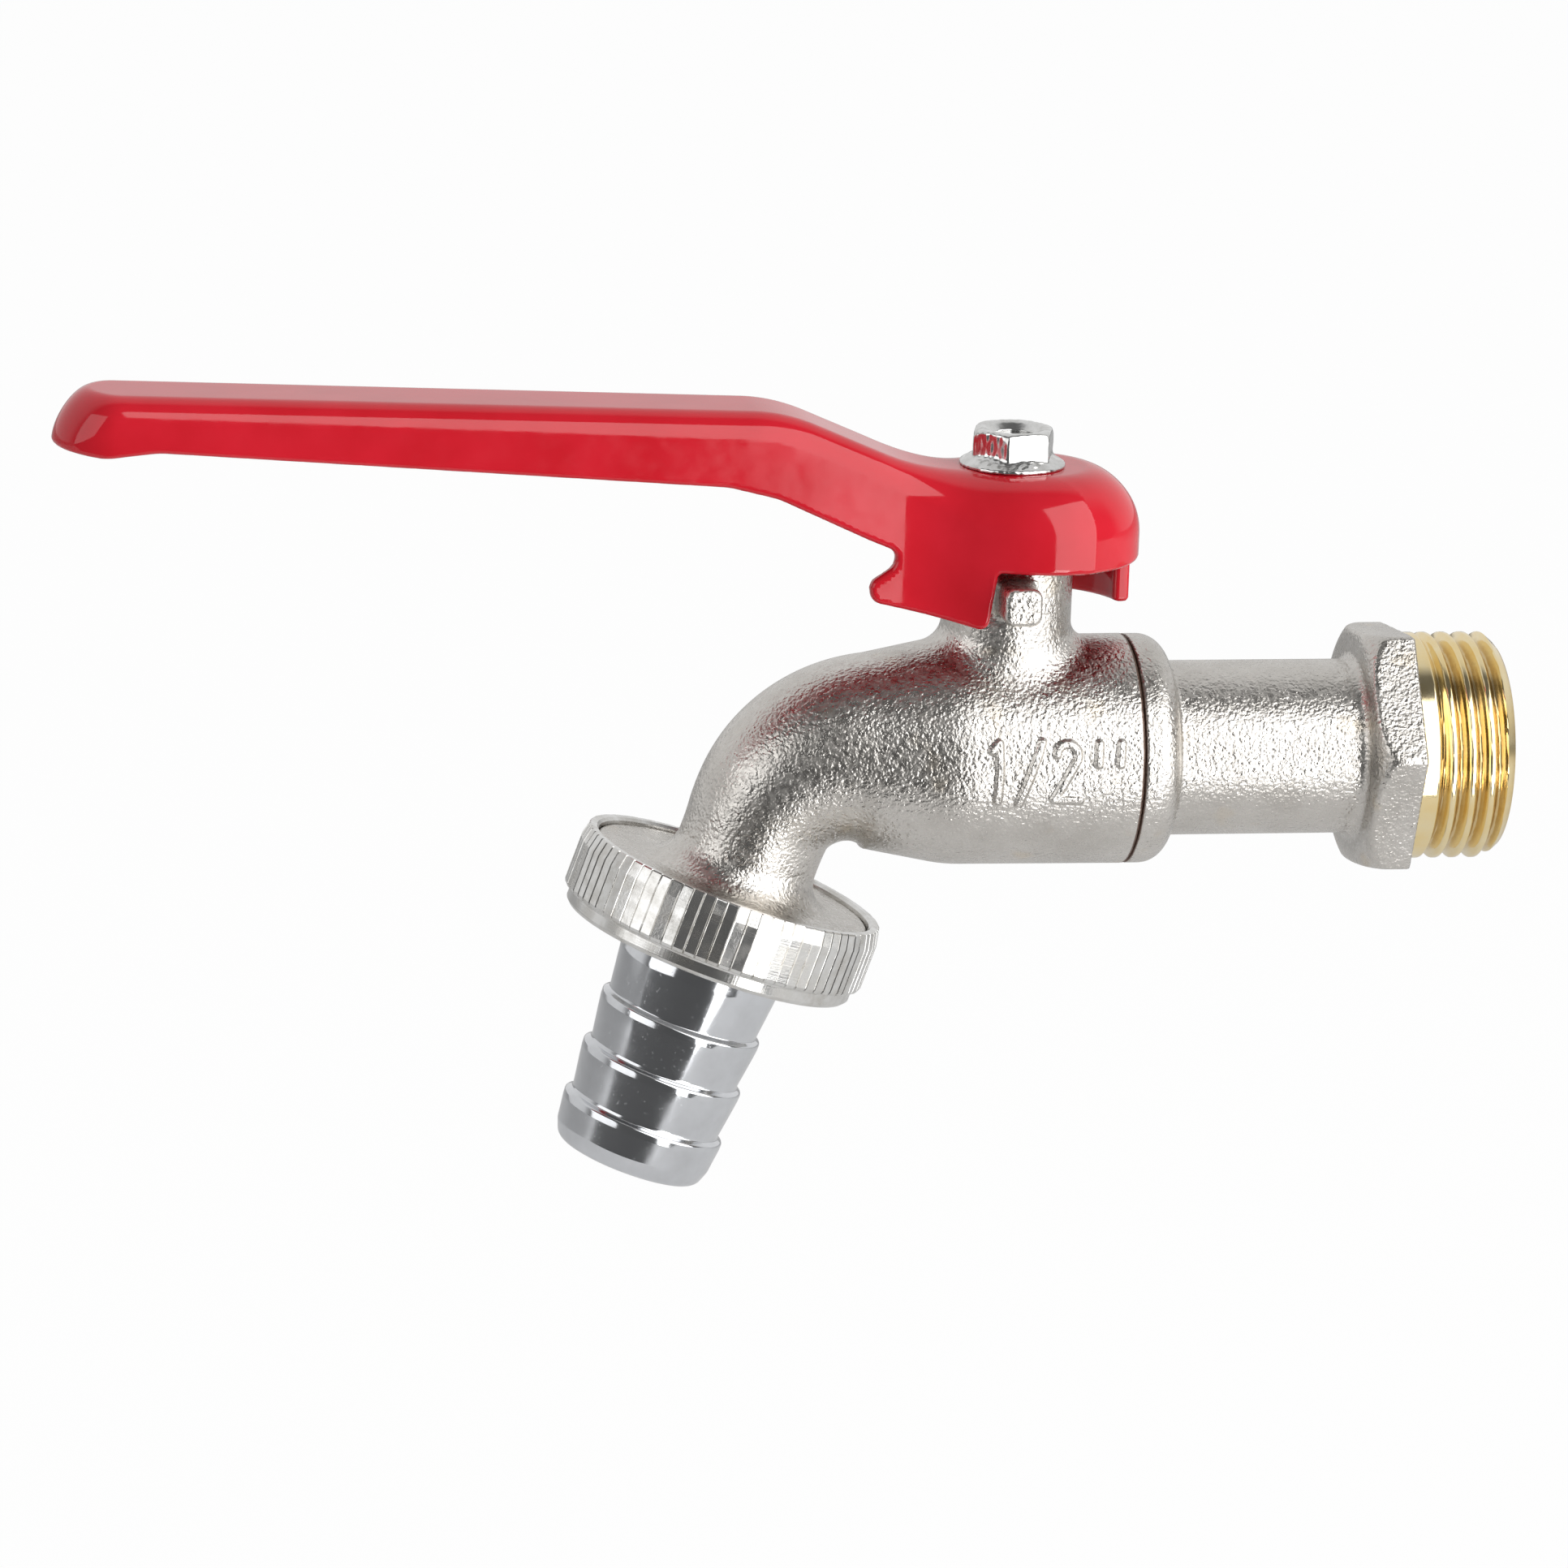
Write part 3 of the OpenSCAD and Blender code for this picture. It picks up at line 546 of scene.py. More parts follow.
def spoutField(x, y, z, s):
    # distance to a pipe that runs level, bends down and runs on along the outlet axis
    x = x - s["bendShift"] * smoothStep((-5.0 - x) / 10.0)
    cx, cz = -bendStart, -s["bend"]
    angle = np.arctan2(-(x - cx), z - cz)
    endX, endZ = cx - s["bend"] * math.sin(bendTurn), cz + s["bend"] * math.cos(bendTurn)
    along = (x - endX) * outletAxis[0] + (z - endZ) * outletAxis[2]
    across = (x - endX) * outletSide[0] + (z - endZ) * outletSide[2]
    level = angle < 0
    bent = (angle >= 0) & (angle <= bendTurn)
    off = np.where(level, z, np.where(bent, np.hypot(x - cx, z - cz) - s["bend"], across))
    run = bendStart - 5.5
    reach = np.where(level, -5.5 - x, np.where(bent, run + s["bend"] * angle,
                                               run + s["bend"] * bendTurn + along))
    narrow = ramp(reach, 1.5) - ramp(reach - run - s["bend"] * bendTurn, 2.0)
    radius = s["chamberR"] + s["chamberFlare"] * ramp(-reach, 1.5) - s["taper"] * narrow
    return (np.hypot(off, y) - radius) * 0.98


def waterWay(x, y, z, radius):
    cx, cz = -bendStart, -10.0
    angle = np.arctan2(-(x - cx), z - cz)
    endX, endZ = cx - 10.0 * math.sin(bendTurn), cz + 10.0 * math.cos(bendTurn)
    across = (x - endX) * outletSide[0] + (z - endZ) * outletSide[2]
    off = np.where(angle < 0, z, np.where(angle <= bendTurn, np.hypot(x - cx, z - cz) - 10.0, across))
    return np.hypot(off, y) - radius


# raised size mark on the front: a plain one half, drawn as strokes across (x, z)
markForm = {"half": 0.34, "soft": 0.17, "height": 0.27, "low": (-3.6, -2.9), "high": (10.0, 3.9)}
markStrokes = [[(-2.95, 2.45), (-2.3, 3.05), (-2.2, 0.4), (-2.3, -2.3)], [(1.7, 3.15), (-0.3, -2.6)],
               [(7.05, 2.95), (6.95, 1.1)], [(9.1, 2.95), (9.0, 1.1)],
               [(4.05 - 1.0 * math.cos(a), 1.95 + 1.05 * math.sin(a)) for a in np.linspace(0.1, 3.5, 9)]
               + [(2.95, -2.2), (5.35, -2.3)]]


def markRelief(x, y, z):
    s = markForm
    out = np.zeros(np.shape(x))
    near = (x > s["low"][0]) & (x < s["high"][0]) & (z > s["low"][1]) & (z < s["high"][1]) & (y < -7)
    if near.any():
        u, v = x[near], z[near]
        nearest = np.full(u.shape, 9.0)
        for stroke in markStrokes:
            for (ax, az), (bx, bz) in zip(stroke, stroke[1:]):
                ex, ez = bx - ax, bz - az
                t = np.clip(((u - ax) * ex + (v - az) * ez) / (ex * ex + ez * ez), 0, 1)
                nearest = np.minimum(nearest, np.hypot(u - ax - ex * t, v - az - ez * t))
        out[near] = s["height"] * smoothStep((s["half"] + s["soft"] - nearest) / (2 * s["soft"]))
    return out


def bodyField(x, y, z):
    s = bodyForm
    ox, oy, oz = intoOutlet(x, y, z)
    ring = np.hypot(ox, oy)
    spout = np.maximum(spoutField(x, y, z, s), oz - 2.0)
    boss = roundCommon(ring - s["bossR"], np.abs(oz - 1.2) - (1.2 - s["bossTop"]), 0.3)
    core = np.maximum(ring - s["bossCore"], np.maximum(1.0 - oz, oz - s["bossEnd"]))
    outer = roundUnion(spout, boss, s["bossFillet"])
    outer = np.minimum(outer, core)
    outer = roundCommon(outer, x - s["seam"], s["seamRound"])
    neck = roundCommon(np.hypot(x, y) - s["neckR"], z - s["neckTop"], 0.3)
    neck = np.maximum(neck, -z)
    outer = roundUnion(outer, neck, s["neckFillet"])
    flat = s["lugHalf"] - s["lugRound"]
    lx, lz = np.abs(x - s["lugX"]) - flat, np.abs(z - s["lugZ"]) - flat
    lug = np.hypot(np.maximum(lx, 0), np.maximum(lz, 0)) + np.minimum(np.maximum(lx, lz), 0)
    lug = roundCommon(lug - s["lugRound"], -s["lugReach"] - y, 0.45)
    lug = np.maximum(lug, y)
    outer = roundUnion(outer, lug, 0.7) - markRelief(x, y, z)
    front = np.hypot(y, z)
    bore = np.maximum(front - 8.5, -9.0 - x)
    bore = np.minimum(bore, np.maximum(front - 9.3, 6.15 - x))
    way = np.maximum(waterWay(x, y, z, 4.6), x)
    stemHole = np.maximum(np.hypot(x, y) - 4.0, -z)
    recess = np.maximum(np.hypot(x, y) - 5.0, np.maximum(z - 10.4, -z))
    hollow = np.minimum(np.minimum(bore, way), np.minimum(stemHole, recess))
    return roundCommon(outer, -hollow, 0.15)


valveBody = fieldObject("valveBody", bodyField, (-39.5, -13.9, -20.5), (12.0, 13.9, 20.2),
                        bodyForm["step"], castMetal, finer=((-3.7, -11.5, -3.2), (10.1, -9.0, 4.2), 2))
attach(valveBody, "tap_body")
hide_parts("valve_body")
print("valve body done", len(valveBody.data.polygons))

# ---- inlet piece: collar, pipe and cast hexagon
inletForm = {"seam": 11.35, "collarR": 10.58, "collarEnd": 15.15, "collarRound": 2.4, "pipeR": 8.05,
             "collarFillet": 0.5, "hexStart": 32.95, "shoulder": 37.5, "domeR": 12.62, "hexRound": 3.0,
             "hexFlat": 10.8, "hexTurn": 6.7, "hexFillet": 0.95, "edge": 0.28, "boreR": 5.6, "step": 0.3}


def inletField(x, y, z):
    s = inletForm
    r = np.hypot(y, z)
    collar = roundCommon(r - s["collarR"], x - s["collarEnd"], s["collarRound"])
    pipe = np.maximum(np.maximum(r - s["pipeR"], 12.0 - x), x - 37.0)
    outer = roundUnion(collar, pipe, s["collarFillet"])
    outer = roundCommon(outer, s["seam"] - x, 0.3)
    prism = None
    for turn in (30, -30, 90):
        a = math.radians(s["hexTurn"] + turn)
        slab = np.abs(z * math.sin(a) - y * math.cos(a)) - s["hexFlat"]
        prism = slab if prism is None else roundCommon(prism, slab, s["edge"])
    dome = roundCommon(r - s["domeR"], s["hexStart"] - x, s["hexRound"])
    hexagon = roundCommon(roundCommon(dome, prism, s["edge"]), x - s["shoulder"], 0.22)
    outer = roundUnion(outer, hexagon, s["hexFillet"])
    spigot = np.maximum(r - 9.28, np.maximum(6.25 - x, x - 12.0))
    outer = np.minimum(outer, spigot)
    seatSide = np.maximum(r - 8.02, x - 9.0)
    return roundCommon(outer, -np.minimum(r - s["boreR"], seatSide), 0.12)


inletPiece = fieldObject("inletPiece", inletField, (5.9, -12.9, -12.9), (37.9, 12.9, 12.9),
                         inletForm["step"], castMetal)
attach(inletPiece, "tap_body")
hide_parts("inlet_nipple")
print("inlet piece done", len(inletPiece.data.polygons))


# ---- geometry node helpers
def newTree(name, sockets):
    tree = bpy.data.node_groups.new(name, "GeometryNodeTree")
    tree.interface.new_socket("Geometry", in_out="INPUT", socket_type="NodeSocketGeometry")
    for label, kind in sockets:
        tree.interface.new_socket(label, in_out="INPUT", socket_type="NodeSocket" + kind)
    tree.interface.new_socket("Geometry", in_out="OUTPUT", socket_type="NodeSocketGeometry")
    book = NodeBook(tree)
    given = book.add("NodeGroupInput").outputs
    return tree, book, given


def runTree(name, tree, mesh, inputs):
    # evaluates the tree once on a mesh and keeps the plain result
    holder = bpy.data.objects.new(name + "Holder", mesh)
    bpy.context.scene.collection.objects.link(holder)
    modifier = holder.modifiers.new("shape", "NODES")
    modifier.node_group = tree
    for item in tree.interface.items_tree:
        if item.in_out == "INPUT" and item.name in inputs:
            modifier[item.identifier] = inputs[item.name]
    evaluated = holder.evaluated_get(bpy.context.evaluated_depsgraph_get())
    result = bpy.data.meshes.new_from_object(evaluated)
    result.name = name
    holder.modifiers.clear()
    bpy.data.objects.remove(holder)
    return result


def faceOut(mesh):
    bm = bmesh.new()
    bm.from_mesh(mesh)
    bmesh.ops.remove_doubles(bm, verts=bm.verts, dist=1e-7)
    bmesh.ops.recalc_face_normals(bm, faces=bm.faces)
    bm.to_mesh(mesh)
    bm.free()


def placeMesh(name, mesh, material, toValve, sharp=35):
    # the mesh is in millimetres in its own frame; toValve turns it into the valve's
    co = np.empty(len(mesh.vertices) * 3)
    mesh.vertices.foreach_get("co", co)
    placed = toRow(toValve(co.reshape(-1, 3) * 1000.0))
    mesh.vertices.foreach_set("co", placed.ravel())
    faceOut(mesh)
    mesh.materials.clear()
    mesh.materials.append(material)
    mesh.polygons.foreach_set("use_smooth", [True] * len(mesh.polygons))
    mesh.set_sharp_from_angle(angle=math.radians(sharp))
    mesh.update()
    obj = bpy.data.objects.new(name, mesh)
    bpy.context.scene.collection.objects.link(obj)
    return obj


def ringMesh(name, profile, angles):
    # turns a closed outline of (radius, height) in millimetres round the z axis
    n, m = len(profile), len(angles)
    r, h = np.array(profile, float).T
    a = np.array(angles, float)
    verts = np.stack([np.outer(np.cos(a), r), np.outer(np.sin(a), r), np.tile(h, (m, 1))], 2)
    i, j = np.meshgrid(range(m), range(n), indexing="ij")
    a0, a1 = i * n + j, ((i + 1) % m) * n + j
    b0, b1 = i * n + (j + 1) % n, ((i + 1) % m) * n + (j + 1) % n
    faces = np.stack([a0, a1, b1, b0], 2).reshape(-1, 4)
    mesh = bpy.data.meshes.new(name)
    mesh.from_pydata((verts.reshape(-1, 3) * 0.001).tolist(), [], faces.tolist())
    return mesh


def evenAngles(count):
    return [2 * math.pi * i / count for i in range(count)]


def alongX(p):
    # local z runs along the inlet axis
    return np.stack([p[:, 2], p[:, 0], p[:, 1]], 1)


# ---- threads: a ring whose radius follows a helix
def makeThreadTree():
    tree, book, given = newTree("thread", [
        ("Crest Radius", "Float"), ("Depth", "Float"), ("Pitch", "Float"), ("Length", "Float"),
        ("Plain Length", "Float"), ("Lead", "Float"), ("Bore Radius", "Float"), ("Phase", "Float"),
        ("Columns", "Int"), ("Rows", "Int"), ("Material", "Material")])
    grid = book.add("GeometryNodeMeshGrid", {"Size X": 1.0, "Size Y": 1.0},
                    {"Vertices X": given["Columns"], "Vertices Y": given["Rows"]})
    flat = book.add("ShaderNodeSeparateXYZ", links={0: book.add("GeometryNodeInputPosition").outputs[0]})
    m = book.math
    u = m("ADD", flat.outputs["X"], 0.5)
    row = m("MULTIPLY", m("ADD", flat.outputs["Y"], 0.5), m("SUBTRACT", given["Rows"], 1.0))
    share = m("DIVIDE", m("SUBTRACT", row, 1.0), m("SUBTRACT", given["Rows"], 4.0), clamp=True)
    notLast = m("LESS_THAN", row, m("SUBTRACT", given["Rows"], 1.5))
    z = m("MULTIPLY", m("MULTIPLY", share, notLast), given["Length"])
    phase = m("FRACT", m("ADD", m("SUBTRACT", m("DIVIDE", z, given["Pitch"]), u), given["Phase"]))
    wave = m("SUBTRACT", 1.0, m("ABSOLUTE", m("SUBTRACT", m("MULTIPLY", phase, 2.0), 1.0)))
    tooth = book.add("ShaderNodeMapRange", {"From Min": 0.08, "From Max": 0.84},
                     {"Value": wave}, interpolation_type="SMOOTHSTEP").outputs["Result"]
    cutIn = book.add("ShaderNodeMapRange", {},
                     {"Value": z, "From Min": given["Plain Length"],
                      "From Max": m("ADD", given["Plain Length"], m("MULTIPLY", given["Pitch"], 0.6))},
                     interpolation_type="SMOOTHSTEP").outputs["Result"]
    drop = m("MULTIPLY", m("MULTIPLY", m("SUBTRACT", 1.0, tooth), given["Depth"]), cutIn)
    radius = m("SUBTRACT", given["Crest Radius"], drop)
    overLead = m("MAXIMUM", m("SUBTRACT", m("ADD", z, given["Lead"]), given["Length"]), 0.0)
    radius = m("MINIMUM", radius, m("SUBTRACT", given["Crest Radius"], m("MULTIPLY", overLead, 0.85)))
    onBore = m("MAXIMUM", m("LESS_THAN", row, 0.5), m("GREATER_THAN", row, m("SUBTRACT", given["Rows"], 2.5)))
    radius = m("ADD", m("MULTIPLY", radius, m("SUBTRACT", 1.0, onBore)), m("MULTIPLY", given["Bore Radius"], onBore))
    turn = m("MULTIPLY", u, 2 * math.pi)
    spot = book.add("ShaderNodeCombineXYZ", links={"X": m("MULTIPLY", radius, m("COSINE", turn)),
                                                   "Y": m("MULTIPLY", radius, m("SINE", turn)), "Z": z})
    moved = book.add("GeometryNodeSetPosition", links={"Geometry": grid.outputs["Mesh"],
                                                       "Position": spot.outputs[0]})
    joined = book.add("GeometryNodeMergeByDistance", {"Distance": 1e-6}, {"Geometry": moved.outputs[0]})
    real = book.add("GeometryNodeRealizeInstances", links={0: joined.outputs[0]})
    done = book.add("GeometryNodeSetMaterial", links={"Geometry": real.outputs[0], "Material": given["Material"]})
    book.add("NodeGroupOutput", links={0: done.outputs[0]})
    return tree


threadTree = makeThreadTree()
inletThreadForm = {"Crest Radius": 0.010478, "Depth": 0.00110, "Pitch": 0.0018143, "Length": 0.0089,
                   "Plain Length": 0.0013, "Lead": 0.0011, "Bore Radius": 0.0056, "Phase": 0.35,
                   "Columns": 161, "Rows": 110, "Material": brassMetal}
inletThread = placeMesh(
    "inletThread", runTree("inletThread", threadTree, bpy.data.meshes.new("blank"), inletThreadForm),
    brassMetal, lambda p: alongX(p) + [inletReach, 0, 0])
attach(inletThread, "tap_body")
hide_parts("inlet_nipple")

outletThreadForm = {"Crest Radius": 0.01312, "Depth": 0.00110, "Pitch": 0.0018143, "Length": 0.0026,
                    "Plain Length": 0.0001, "Lead": 0.0005, "Bore Radius": 0.0110, "Phase": 0.0,
                    "Columns": 161, "Rows": 44, "Material": turnedNickel}
outletThread = placeMesh(
    "outletThread", runTree("outletThread", threadTree, bpy.data.meshes.new("blank"), outletThreadForm),
    turnedNickel, lambda p: fromOutlet(p + [0, 0, 0.8]))
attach(outletThread, "tap_body")
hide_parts("valve_body")
print("threads done", len(inletThread.data.polygons), len(outletThread.data.polygons))

# ---- lever: a pressed and dipped sheet
leverForm = {"top": 26.8, "sheet": 1.5, "length": 88.1, "gripHalf": 5.4, "headR": 9.35, "headX": 2.6,
             "flare": 5.3, "step": 0.42, "stepFoot": -8.35, "stepHead": -21.9, "gripFall": 0.3918,
             "gripEdge": 2.3, "tipEdge": 5.3, "headEdge": 4.6, "endEdge": 6.0, "trimRound": 0.5, "skirtZ": 18.4,
             "tabZ": 13.5, "tabX": -2.525, "farTabY": 1.225, "mesh": 0.33}


def leverTop(x, s):
    return s["top"] + s["step"] * ramp(s["stepFoot"] - x, 4.0) - s["gripFall"] * ramp(s["stepHead"] - x, 3.0)


def leverOuter(x, y, z, s):
    # depth below the pressed outer face
    tipX = -s["length"] + s["gripHalf"]
    grip = np.hypot(np.maximum(tipX - x, 0), y) - s["gripHalf"]
    grip = np.where(x > tipX, np.abs(y) - s["gripHalf"], grip)
    grip = np.maximum(grip, x - s["headX"])
    head = np.hypot(x - s["headX"], y) - s["headR"]
    plan = softUnion(grip, head, s["flare"])
    slope = s["step"] * smoothStep((s["stepFoot"] + 4 - x) / 8) \
        - s["gripFall"] * smoothStep((s["stepHead"] + 3 - x) / 6)
    level = (z - leverTop(x, s)) / np.sqrt(1 + slope * slope)
    edge = s["gripEdge"] + (s["headEdge"] - s["gripEdge"]) * smoothStep((x + 14) / 14) \
        + (s["endEdge"] - s["headEdge"]) * smoothStep((x - 3) / 8) \
        + (s["tipEdge"] - s["gripEdge"]) * smoothStep((6 - (x + s["length"])) / 6)
    return roundCommon(plan, level, edge)


def leverTrims(s):
    left, high = -s["length"] - 2, s["top"] + 20
    underside = [(left, high, 0), (left, 29.5, 0), (-87.0, 29.05, 3), (-83.8, 28.7, 5), (-79.0, 29.25, 8),
                 (-27.2, 25.85, 6), (-22.6, 24.75, 8), (-14.2, 20.95, 3)]
    near = filletOutline(underside + [
        (-11.5, 19.85, 1.7), (-11.6, 18.4, 1.4), (-13.85, 16.9, 1.0), (-13.65, 15.15, 1.1),
        (s["tabX"] - 0.75, s["tabZ"] - 0.7, 0.9), (s["tabX"], s["skirtZ"], 0.45),
        (16, s["skirtZ"], 0), (16, high, 0)])
    far = filletOutline(underside + [
        (-9.0, s["skirtZ"], 1.0), (-3.0, s["skirtZ"], 0.8), (-1.0, s["tabZ"], 0.8), (16, s["tabZ"], 0),
        (16, high, 0)])
    farSkirt = filletOutline(underside + [(-9.0, s["skirtZ"], 1.0), (16, s["skirtZ"], 0), (16, high, 0)])
    return near, far, farSkirt


nearTrim, farTrim, farSkirtTrim = leverTrims(leverForm)


def leverField(x, y, z):
    s = leverForm
    outer = leverOuter(x, y, z, s)
    shell = np.abs(outer + s["sheet"] / 2) - s["sheet"] / 2
    near = outlineField(x, z, nearTrim)
    farTab = roundCommon(outlineField(x, z, farTrim), s["farTabY"] - y, 0.4)
    far = np.minimum(farTab, outlineField(x, z, farSkirtTrim))
    trim = np.where(y < 0, near, far)
    hole = np.maximum(np.abs(x), np.abs(y)) - 2.6
    trim = np.maximum(trim, np.where(z > s["top"] - 4, -hole, -9.0))
    return roundCommon(shell, trim, s["trimRound"])


lever = fieldObject("lever", leverField, (-89.0, -9.9, 12.4), (12.7, 9.9, 35.6), leverForm["mesh"], redEnamel)
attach(lever, "handle")
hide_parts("lever")
print("lever done", len(lever.data.polygons))

# ---- lever nut: flange nut with a dished top
leverNutForm = {"base": 26.8, "height": 3.5, "flat": 3.5, "turn": 12.0, "flangeR": 4.85, "flangeEdge": 0.4,
                "holeR": 2.03, "dish": 0.7, "mesh": 0.11}


def leverNutField(x, y, z):
    s = leverNutForm
    r = np.hypot(x, y)
    h = z - s["base"]
    prism = None
    for turn in (0, 60, 120):
        a = math.radians(s["turn"] + turn + 30)
        slab = np.abs(x * math.cos(a) + y * math.sin(a)) - s["flat"]
        prism = slab if prism is None else roundCommon(prism, slab, 0.16)
    crown = (r - 4.1) * 0.75 + (h - s["height"] + 0.55) * 0.66
    nut = roundCommon(roundCommon(prism, crown, 0.3), h - s["height"], 0.3)
    slope = (r - s["flangeR"] + 0.35) * 0.5 + (h - s["flangeEdge"] - 0.12) * 0.86
    flange = roundCommon(roundCommon(r - s["flangeR"], slope, 0.12), -h, 0.1)
    nut = roundUnion(np.maximum(nut, -h), flange, 0.3)
    dish = r - s["holeR"] - np.maximum(0, h - s["height"] + s["dish"]) * 1.1
    dents = 0.035 * np.sin(3.1 * x + 1.3 * z) * np.sin(2.7 * y + 2.1 * z + 1) * np.sin(4.3 * (x - y))
    return roundCommon(nut + dents, -dish, 0.22)


leverNut = fieldObject("leverNut", leverNutField, (-5.2, -5.2, 26.6), (5.2, 5.2, 30.6), leverNutForm["mesh"],
                       zincSteel)
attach(leverNut, "handle")
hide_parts("lever_nut")
print("lever nut done", len(leverNut.data.polygons))

# ---- union nut: a turned ring with a straight knurl
unionForm = {"flats": 80, "rimR": 14.17, "topR": 14.5, "bandEnd": 5.9, "lowerR": 13.8, "height": 7.5,
             "boreR": 13.22, "lipZ": 6.45, "lipR": 7.98}


def unionProfile(s):
    corners = [(s["boreR"], 0.25, 0), (s["boreR"] + 0.25, 0.0, 0), (s["rimR"] - 0.06, 0.0, 0.06), (s["rimR"] + 0.02, 0.12, 0),
               (s["topR"], 1.4, 0.1)]
    for z in np.linspace(1.6, s["bandEnd"] - 0.3, 5):
        corners.append((s["topR"], float(z), 0))
    corners += [(s["topR"] - 0.12, s["bandEnd"], 0.1), (s["lowerR"] + 0.15, s["bandEnd"] + 0.1, 0.1),
                (s["lowerR"], s["bandEnd"] + 0.3, 0.1), (s["lowerR"], s["height"] - 0.35, 0.15),
                (s["lowerR"] - 0.35, s["height"], 0.15), (s["lipR"], s["height"], 0.15),
                (s["lipR"], s["lipZ"], 0.1), (s["boreR"], s["lipZ"], 0.1)]
    return filletOutline(corners, 3)


def makeKnurlTree():
    tree, book, given = newTree("knurl", [
        ("Flats", "Int"), ("Groove Depth", "Float"), ("Groove Share", "Float"), ("Band Start", "Float"),
        ("Band End", "Float"), ("Outer Radius", "Float"), ("Tilt", "Float"), ("Pair Tilt", "Float"), ("Seed", "Int"),
        ("Material", "Material")])
    m = book.math
    where = book.add("ShaderNodeSeparateXYZ", links={0: book.add("GeometryNodeInputPosition").outputs[0]})
    x, y, z = where.outputs
    radius = m("SQRT", m("ADD", m("MULTIPLY", x, x), m("MULTIPLY", y, y)))
    turn = m("ADD", m("DIVIDE", m("ARCTAN2", y, x), 2 * math.pi), 0.5)
    place = m("MULTIPLY", turn, given["Flats"])
    number = m("FLOOR", m("ADD", place, 0.0005))
    local = m("SUBTRACT", m("SUBTRACT", place, number), 0.5)
    outside = m("MULTIPLY", m("GREATER_THAN", radius, m("SUBTRACT", given["Outer Radius"], 0.0006)),
                m("MULTIPLY", m("GREATER_THAN", z, given["Band Start"]), m("LESS_THAN", z, given["Band End"])))
    edge = m("SUBTRACT", 0.5, m("ABSOLUTE", local))
    groove = m("SUBTRACT", 1.0, m("DIVIDE", edge, given["Groove Share"], clamp=True), clamp=True)
    angle = m("DIVIDE", m("MULTIPLY", local, 2 * math.pi), given["Flats"])
    half = m("DIVIDE", math.pi, given["Flats"])
    chord = m("MULTIPLY", radius, m("SUBTRACT", m("DIVIDE", m("COSINE", half), m("COSINE", angle)), 1.0))
    lean = book.add("FunctionNodeRandomValue", {"Min": -1.0, "Max": 1.0},
                    {"ID": number, "Seed": given["Seed"]}, data_type="FLOAT")
    leanOut = [o for o in lean.outputs if o.enabled][0]
    pair = m("SUBTRACT", m("MULTIPLY", m("FLOORED_MODULO", number, 2.0), 2.0), 1.0)
    tilt = m("MULTIPLY", m("ADD", m("MULTIPLY", leanOut, given["Tilt"]), m("MULTIPLY", pair, given["Pair Tilt"])), local)
    change = m("SUBTRACT", m("ADD", chord, tilt), m("MULTIPLY", groove, given["Groove Depth"]))
    scale = m("ADD", 1.0, m("MULTIPLY", outside, m("DIVIDE", change, radius)))
    spot = book.add("ShaderNodeCombineXYZ", links={"X": m("MULTIPLY", x, scale), "Y": m("MULTIPLY", y, scale), "Z": z})
    moved = book.add("GeometryNodeSetPosition", links={"Geometry": given["Geometry"], "Position": spot.outputs[0]})
    real = book.add("GeometryNodeRealizeInstances", links={0: moved.outputs[0]})
    done = book.add("GeometryNodeSetMaterial", links={"Geometry": real.outputs[0], "Material": given["Material"]})
    book.add("NodeGroupOutput", links={0: done.outputs[0]})
    return tree


knurlTree = makeKnurlTree()
knurlShares = (0.0, 0.045, 0.09, 0.3, 0.5, 0.7, 0.91, 0.955)
knurlAngles = [2 * math.pi * (i + f) / unionForm["flats"] for i in range(unionForm["flats"]) for f in knurlShares]
knurlForm = {"Flats": unionForm["flats"], "Groove Depth": 0.00016, "Groove Share": 0.09, "Band Start": -0.0001,
             "Band End": 0.00592, "Outer Radius": 0.0145, "Tilt": 0.00005, "Pair Tilt": 0.00005, "Seed": 7, "Material": turnedNickel}
unionNut = placeMesh(
    "unionNut", runTree("unionNut", knurlTree, ringMesh("unionRing", unionProfile(unionForm), knurlAngles), knurlForm),
    turnedNickel, fromOutlet, 12)
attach(unionNut, "nut")
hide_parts("union_nut")
print("union nut done", len(unionNut.data.polygons))

# ---- hose tail: a drawn tube with three rolled ridges
tailForm = {"flangeR": 12.85, "flangeTop": 5.1, "flangeEnd": 6.38, "neckR": 7.62, "boreR": 5.3, "end": 28.55,
            "first": 13.75, "pitch": 5.0, "ridges": 3, "ridgeR": 7.68, "valleyR": 7.12}


def tailProfile(s):
    corners = [(s["boreR"], s["flangeTop"], 0.2), (s["flangeR"], s["flangeTop"], 0.1), (s["flangeR"], s["flangeEnd"], 0.1),
               (s["neckR"], s["flangeEnd"], 0.3), (s["neckR"], 9.6, 3.0), (s["valleyR"] + 0.06, s["first"] - 0.3, 0.5)]
    for k in range(s["ridges"]):
        z = s["first"] + k * s["pitch"]
        corners += [(s["valleyR"] + 0.02, z, 0.16), (s["ridgeR"], z + 0.28, 0.3), (s["ridgeR"] - 0.02, z + 0.95, 0.5),
                    (s["ridgeR"] - 0.16, z + 2.0, 1.5)]
        if k < s["ridges"] - 1:
            corners.append((s["valleyR"], z + s["pitch"] - 0.28, 0.5))
    corners += [(s["ridgeR"] - 0.3, s["end"] - 1.6, 1.0), (s["ridgeR"] - 0.9, s["end"], 1.1), (s["boreR"], s["end"], 0.5)]
    return filletOutline(corners, 6)


hoseTail = placeMesh("hoseTail", ringMesh("hoseTail", tailProfile(tailForm), evenAngles(180)), chromePlate, fromOutlet, 50)
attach(hoseTail, "tail")
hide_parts("hose_tail")
print("hose tail done", len(hoseTail.data.polygons))

